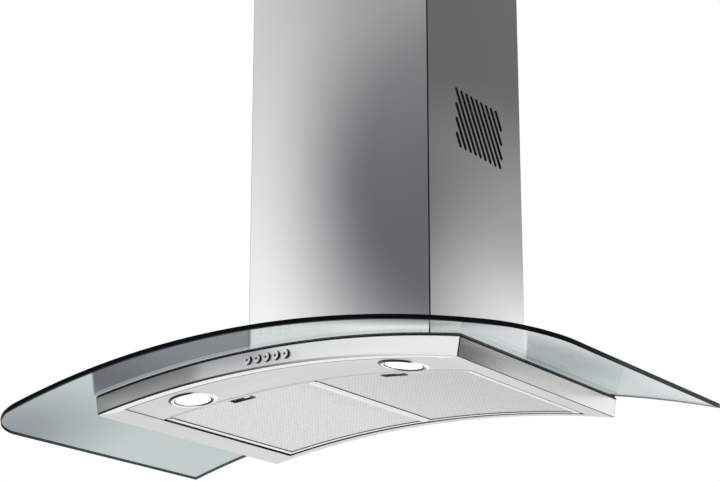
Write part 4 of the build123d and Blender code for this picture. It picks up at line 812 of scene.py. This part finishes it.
# -------- grease filters
def filter_channel(label, body, lo, hi):
    """Frame of rounded channel round the opening.  Its front foot reaches 2 mm farther than its wall."""
    def at(low, high):
        return border(low, high, 1.6, LONG[::2], SIDE)

    crown, fold = 0.7, 0.3
    left, right = lo + FILTER_RIM, hi - FILTER_RIM
    rear, front = FILTER_REAR + FILTER_RIM, FILTER_FRONT - FILTER_FRONT_RIM
    outline, apron = at((lo, FILTER_REAR), (hi, FILTER_FRONT)), at((lo, FILTER_REAR), (hi, FILTER_FRONT + 2.0))
    window = at((left, rear), (right, front))
    lip, inner = inset(window, -fold), inset(outline, SHEET)
    slope = np.degrees(np.arctan(2 * crown / (FILTER_RIM / 2)))
    rings = []
    for k in (-1, -0.75, -0.5, -0.25, 0, 0.25, 0.5, 0.68, 0.7, 0.85, 1):
        rings += spread(apron, window, [(k + 1) / 2], crown * k * k, -90 - k * slope)
    rings += rings_at(
        (window, crown + 0.5, 180), (lip, SHEET, 90), (inset(outline, 1.2), SHEET, 90), (inner, SHEET + fold, 180),
        (inner, FILTER_T - SHEET - fold, 180), (lip, FILTER_T - SHEET, -90), (window, FILTER_T - 0.8, 180),
        (window, FILTER_T - 0.2, 180), (inset(window, -0.2), FILTER_T, 90),
    )
    rings += bent(outline, 0.8, FILTER_T - 0.8, 90, -90) + rings_at((outline, 1.3, 0), (apron, 1.2, 0))

    def choose(middles, looks):
        """Rim of the channel, and a strip of painted shade for the gap between it and the mesh, which shows along the
        left and the rear.
        """
        s, t = UNDER_R * np.arctan2(middles[:, 0], middles[:, 2] - AXIS_Z), -middles[:, 1]
        low = np.hypot(middles[:, 0], middles[:, 2] - AXIS_Z) < UNDER_R + 1.6
        beside = (s > left - 1.5) & (s < left + 1) & (t > rear - 2)
        behind = (t > rear - 1.6) & (t < rear + 1) & (s > left - 2) & (s < right + 2)
        return np.select((low & (beside | behind), low & (t > front)), (1, 2), 0)

    materials = [steel_filter, steel_painted_gap_shade, steel_under]
    loft("filter_channel_" + label, rings, body, materials, ["filter_frame_" + label], choose=choose)


def filter_net(label, body, lo, hi, centre):
    """Mesh in the channel, cut out round the finger pocket."""
    s = np.linspace(lo + NET_GAP, hi - NET_GAP, 43)
    half, rear = POCKET_HALF + POCKET_WALL + 0.2, POCKET_REAR - POCKET_WALL - 0.2
    left, right = s[s < centre - half - 2], s[s > centre + half + 2]
    front = FILTER_FRONT - NET_GAP
    outline = np.vstack((
        stack(s, FILTER_REAR + NET_GAP), stack(right[::-1], front),
        stack(centre + half * np.array([1, 1, -1, -1]), [front, rear, rear, front]), stack(left[::-1], front),
    ))
    rows = np.linspace(FILTER_REAR + 5, front - 5, 25)
    sheet(
        "filter_net_" + label, [outline], s, rows, under(UNDER_R + NET_GAP), NET_T, 0.3, body, [mesh_steel],
        ["filter_mesh_" + label],
    )


def finger_pocket(label, body, centre):
    """Pocket with a rim.  One fan of triangles closes its floor below, and one above."""
    def block(half, near, far, radius):
        return border((centre - half, near), (centre + half, far), radius, SIDE[::3], SIDE[::3])

    outer = block(POCKET_HALF + POCKET_WALL, POCKET_REAR - POCKET_WALL, FILTER_FRONT - 1.3, 1.6)
    mouth = block(POCKET_HALF, POCKET_REAR, POCKET_FRONT, 1.4)
    floor = block(POCKET_HALF - 1.0, POCKET_REAR + 1.0, POCKET_FRONT - 1.0, 0.8)
    slim = inset(outer, 0.3)
    rings = rings_at(
        (floor, 5.5, -90), (inset(mouth, 0.2), 5.0, -160), (mouth, 0.3, 180), (inset(mouth, -0.3), 0.0, -90),
        (slim, 0.0, -90), (outer, 0.3, 0), (outer, 6.4, 0), (slim, 6.7, 90), (floor, 6.7, 90),
    )
    index = np.arange(len(outer))
    fan = stack(index, np.roll(index, -1), len(outer))
    ends = rings[0], rings[-1]
    caps = [(np.vstack((part, part.mean(axis=0))), np.vstack((lean, lean[:1])), fan) for part, lean in ends]
    loft(
        "finger_pocket_" + label, rings, body, [pocket_steel], (), caps,
        lambda row, column: row == len(rings) - 1,
    )


def filter_tongues(label, body, side):
    """Two tongues that hang the filter on the rear ledge."""
    for x in (FILTER_IN + 35.0, FILTER_OUT - 35.0):
        low, high = sorted((side * span(x - 15.0), side * span(x + 15.0)))
        tongue = border((low, 4.0), (high, FILTER_REAR + 0.4), 1.5, SIDE[::3], SIDE[::3])
        sheet(
            "filter_tongue_%s_%d" % (label, x), [tongue], np.linspace(low, high, 6), np.linspace(4, 20, 4),
            under(UNDER_R + 6.5), 1.5, 0.3, body, [steel_filter],
        )


for label, side in SIDES:
    lo, hi = sorted((side * span(FILTER_IN), side * span(FILTER_OUT)))
    centre = side * span((FILTER_IN + FILTER_OUT) / 2)
    body = "filter_" + label
    filter_channel(label, body, lo, hi)
    filter_net(label, body, lo, hi, centre)
    finger_pocket(label, body, centre)
    filter_tongues(label, body, side)


# -------- lamps
def lamp_pieces(label, x):
    """Bezel with a rounded crown and a sleeve through the panel, and a thin lens whose face bulges a little."""
    at = local(x, LAMP_DEPTH, PANEL_R)
    outer, inner, seam, bulge = 34.0, 24.5, 25.9, 26.8
    turn = np.linspace(0, 1, 13)
    crown = stack(outer + turn * (inner - outer), -0.5 - 0.5 * turn - 1.35 * np.sin(np.pi * turn ** 0.8))
    sleeve = [
        (24.3, -0.9), (24.4, -0.6), (28.2, -0.5), (28.2, 5.8), (28.6, 6.0), (29.4, 6.0), (29.8, 5.8), (29.8, -0.3),
        (30.0, -0.2), (33.6, -0.2), (33.9, -0.35),
    ]
    # The crown's inner edge, inside the radius seam, takes the near black steel: painted shade in the gap round the
    # lens.
    lathe(
        "lamp_bezel_" + label, np.vstack((crown, sleeve)), at, "hood", [chrome, steel_painted_dark],
        ["lamp_ring_" + label], closed=True, choose=lambda radius, height: np.where(radius < seam, 1, 0),
    )
    radii = np.linspace(0, bulge, 9)
    face = stack(radii, -0.88 - 0.4 * (1 - (radii / bulge) ** 2))[radii < 24.3]
    back = [(24.25, -0.6), (26.5, -0.45), (27.9, -0.4), (28.0, -0.1), (27.9, 0.7), (27.4, 0.9), (0.0, 0.9)]
    lathe("lamp_glass_" + label, np.vstack((face, back)), at, "hood", [lit_lens], ["lamp_lens_" + label])


for label, side in SIDES:
    lamp_pieces(label, side * LAMP_X)


# -------- push buttons
def push_button(number, x):
    """Turned cap: a faint hollow in the middle of a domed face, a rounded shoulder, and the stem behind."""
    front, root, round_r, hollow_r, mark_r = DEPTH + 3.6, DEPTH - 12.0, 1.0, 2.2, 1.7
    radii = np.linspace(0, BUTTON_R - round_r, 9)
    face = stack(radii, front - 0.35 * (radii / BUTTON_R) ** 4 - 0.2 * np.exp(-((radii / hollow_r) ** 2)))
    shoulder = arc((BUTTON_R - round_r, front - round_r - 0.25), round_r, 86, 0, 7)
    stem = [(BUTTON_R, root + 0.2), (BUTTON_R - 0.2, root), (0.0, root)]
    at = np.array([x, 0.0, AXIS_Z + BUTTON_HIGH]), *np.array([[1.0, 0, 0], [0, 0, 1.0], [0, -1.0, 0]])
    lathe(
        "button_cap_%d" % number, np.vstack((face, shoulder, stem)), at, "button_%d" % number,
        [button_steel, mark_steel], ["push_button_%d" % number], 48,
        choose=lambda radius, height: np.where((radius < mark_r) & (height > DEPTH), 1, 0),
    )


for number, x in enumerate(BUTTON_XS, 1):
    push_button(number, x)


# -------- chimney covers
def vent_slots(start, total):
    """Leaning slots of both sides: rows of parallel lines cut to a rectangle, on a pattern that is total long.  start
    is where the left side would meet the wall."""
    lean, loops = np.tan(np.radians(VENT_LEAN)), []
    for number in range(-int(VENT_HEIGHT * lean / VENT_PITCH), int(VENT_WIDTH / VENT_PITCH) + 1):
        offset = number * VENT_PITCH
        top, foot = max(0.0, -offset / lean), min(VENT_HEIGHT, (VENT_WIDTH - offset) / lean)
        middle, length = (top + foot) / 2, (foot - top) / np.cos(np.radians(VENT_LEAN))
        at = start + VENT_DEPTH + VENT_WIDTH / 2 - offset - middle * lean
        up = VENT_Z + VENT_HEIGHT / 2 - middle
        loops.append(slot_hole((at, up), length, VENT_SLOT, 90 - VENT_LEAN))
        loops.append(slot_hole((total - at, up), length, VENT_SLOT, 90 + VENT_LEAN))
    return loops


def cover(name, gap, low, high, materials, body, replaces, vents):
    """Sheet folded to a U with a flange turned in along the wall at each side, that far inside the lower cover's
    outer face.  The pattern's s runs along the outer face from flange to flange, t is the height, and low gives the
    foot's height at a value of x."""
    half, front, flange = COVER_HALF - gap, COVER_DEPTH - gap, COVER_HALF - gap - 15.0
    corners = [(-flange, -gap), (-half, -gap), (-half, -front), (half, -front), (half, -gap), (flange, -gap)]
    lengths, table, normals = folded(corners, 2.0)

    def place(s, t, h):
        at, lean = along(lengths, table, s), unit(along(lengths, normals, s))
        return stack(*(at - h[:, None] * lean).T, t)

    bends = np.unique(np.round(lengths, 4))
    flats = np.linspace(0, lengths[-1], 121)
    near_bend = np.abs(flats[:, None] - bends).min(axis=1) < 2.5
    s = np.sort(np.concatenate((bends, flats[~near_bend])))
    foot = low(along(lengths, table, s)[:, 0])
    rise = np.linspace(0, 1, 12)[1:-1]
    loops = [np.vstack((
        stack(s, foot), stack(s[-1], foot[-1] + rise * (high - foot[-1])),
        stack(s[::-1], high), stack(s[0], high + rise * (foot[0] - high)),
    ))]
    if vents:
        k = np.flatnonzero(np.abs(table[:, 0] + half) < 1e-6)[0]
        loops += vent_slots(lengths[k] + table[k, 1], lengths[-1])

    def choose(middles):
        """Front and sides; the bends and the flanges take the near black steel, a painted dark reflection along the
        bends.
        """
        x, y = np.abs(along(lengths, table, middles[:, 0])).T
        behind = np.abs(y - front) > 0.05
        return np.select(((np.abs(x - half) > 0.05) & behind, behind), (2, 1), 0)

    rows = np.linspace(float(foot.max()) + 6, high - 6, 14)
    materials = [*materials, steel_painted_dark, steel_inner]
    sheet(name, loops, s, rows, place, SHEET, 0.3, body, materials, replaces, choose)


cover(
    "chimney_lower", 0.0, lambda x: AXIS_Z + np.sqrt((GLASS_R + 0.2) ** 2 - x ** 2), COVER_TOP,
    [steel_chimney, steel_chimney_side], "hood", ["lower_chimney_cover"], True,
)
cover(
    "chimney_upper", UPPER_GAP, lambda x: UPPER_FOOT + 0 * x, UPPER_TOP,
    [steel_upper, steel_upper], "upper_cover", ["upper_chimney_cover"], False,
)


def vent_shade_sheet(label, side):
    """Thin black sheet just behind a side's slots: painted shade for the dark inside the cover."""
    def place(s, t, h):
        return stack(side * (COVER_HALF - 3.0 + h), -s, t)

    loop = border((46.0, 186.0), (190.0, 285.0), 3.0, SIDE[::4], SIDE[::4])
    sheet(
        "vent_shade_sheet_" + label, [loop], np.linspace(51, 185, 8), np.linspace(190, 281, 7), place, SHEET, 0.2, "hood",
        [vent_shade_black],
    )


for label, side in SIDES:
    vent_shade_sheet(label, side)

# -------- finishes of the model's own pieces
FINISHES = {slot: plain(name, *values) for slot, name, *values in (
    ("galvanised", "galvanised_sheet", 178, 0.85, 0.42, 90, 0.12, 0.12, 0.05),
    ("screw_steel", "screw_steel", 190, 1.0, 0.3, 400, 0.08, 0.05, 0.05),
    ("motor_metal", "motor_shell", 150, 0.9, 0.4, 200, 0.1, 0.08, 0.06),
    ("shaft_steel", "shaft_steel", 205, 1.0, 0.18, (40, 900, 900), 0.05, 0.03, 0.02),
    ("black_plastic", "black_plastic", 34, 0.0, 0.45, 500, 0.06, 0.15, 0.08),
    ("grey_plastic", "grey_plastic", 96, 0.0, 0.5, 500, 0.06, 0.08, 0.08),
    ("white_plastic", "white_plastic", 226, 0.0, 0.45, 500, 0.06, 0.03, 0.06),
    ("dark_rubber", "dark_rubber", 30, 0.0, 0.75, 300, 0.08, 0.2, 0.1),
    ("reflector", "spun_aluminium", 232, 1.0, 0.14, (60, 60, 900), 0.04, 0.03, 0.02),
    ("ceramic", "white_ceramic", 232, 0.0, 0.4, 250, 0.08, 0.03, 0.05),
)}
FINISHES |= {
    "clear_glass": glass, "stainless": steel_under, "bright_trim": chrome, "filter_metal": steel_filter,
    "mesh": mesh_steel, "button_metal": button_steel, "lens_glass": lit_lens,
    "bulb_glass": plain(
        "bulb_glass", (249.31, 249.31, 246.99), 0.0, 0.05, 100, 0.02, 0.02, Transmission_Weight=1.0, IOR=1.46,
    ),
}
for entry in frame["record"]["subparts"]:
    for holder in frame["nodes"][entry["node"]].material_slots:
        holder.link = "OBJECT"
        holder.material = FINISHES[entry["material_slot"]]

# -------- camera, floor and light
scene.view_settings.view_transform = "Standard"
camera = put_in("camera", bpy.data.cameras.new("camera"))
camera.location = (1.5219, -2.4245, -0.7838)
camera.rotation_euler = np.radians((90 + 16.668, 0, 34.348))
camera.data.lens, camera.data.sensor_width, camera.data.shift_y = 99.88, 36.0, 0.05
camera.data.clip_start, camera.data.clip_end = 0.05, 60.0
scene.camera = camera

FLOOR_Z, FLOOR_R, FLOOR_SIDES = -1.62, 30.0, 64


def floor():
    """Wide flat disc in metres; camera, glossy and transmitted rays see it in the background's white."""
    turn = np.arange(FLOOR_SIDES) * 2 * np.pi / FLOOR_SIDES
    points = np.vstack(([[0, 0, FLOOR_Z]], stack(FLOOR_R * np.cos(turn), FLOOR_R * np.sin(turn), FLOOR_Z)))
    index = 1 + np.arange(FLOOR_SIDES)
    mesh = bpy.data.meshes.new("floor")
    mesh.from_pydata(points.tolist(), [], stack(0, index, np.roll(index, -1)).tolist())
    recipe = Recipe("pale_floor", 246.99, roughness=0.9)
    bright = recipe.add("ShaderNodeEmission", {"Strength": 1.0})[0]
    share = recipe.math("MULTIPLY", recipe.seen(), 0.85)[0]
    mix = recipe.add("ShaderNodeMixShader", {0: share, 1: recipe.shader.outputs[0], 2: bright})[0]
    recipe.fill(recipe.nodes["Material Output"], {"Surface": mix})
    mesh.materials.append(recipe.material)
    put_in("floor", mesh)


floor()


def studio():
    """World: the background's plain white for camera, glossy and transmitted rays, and a soft grey light otherwise."""
    world = bpy.data.worlds.new("studio")
    scene.world = world
    world.use_nodes = True
    world.node_tree.nodes.clear()
    tree = Tree(world.node_tree)
    white = tree.add("ShaderNodeBackground", {"Color": (1, 1, 1, 1)})[0]
    soft = tree.add("ShaderNodeBackground", {"Color": (0.8, 0.8, 0.8, 1), "Strength": 0.85})[0]
    mix = tree.add("ShaderNodeMixShader", {0: tree.seen(), 1: soft, 2: white})[0]
    tree.add("ShaderNodeOutputWorld", {0: mix})


studio()


def softbox(name, place, target, size, power):
    """Wide area light that looks at a point.  Metal mirrors the white studio and not the lamp."""
    light = bpy.data.lights.new(name, "AREA")
    light.shape, light.size, light.size_y, light.energy = "RECTANGLE", size[0], size[1], power
    piece = put_in(name, light)
    piece.location = place
    piece.rotation_euler = (Vector(target) - Vector(place)).to_track_quat("-Z", "Y").to_euler()
    piece.visible_glossy = False


softbox("key", (-2.2, -3.2, 2.2), (0, -0.2, 0), (2.4, 2.4), 16)
softbox("fill", (3.0, -2.0, 1.0), (0, -0.2, 0), (1.6, 1.6), 5)
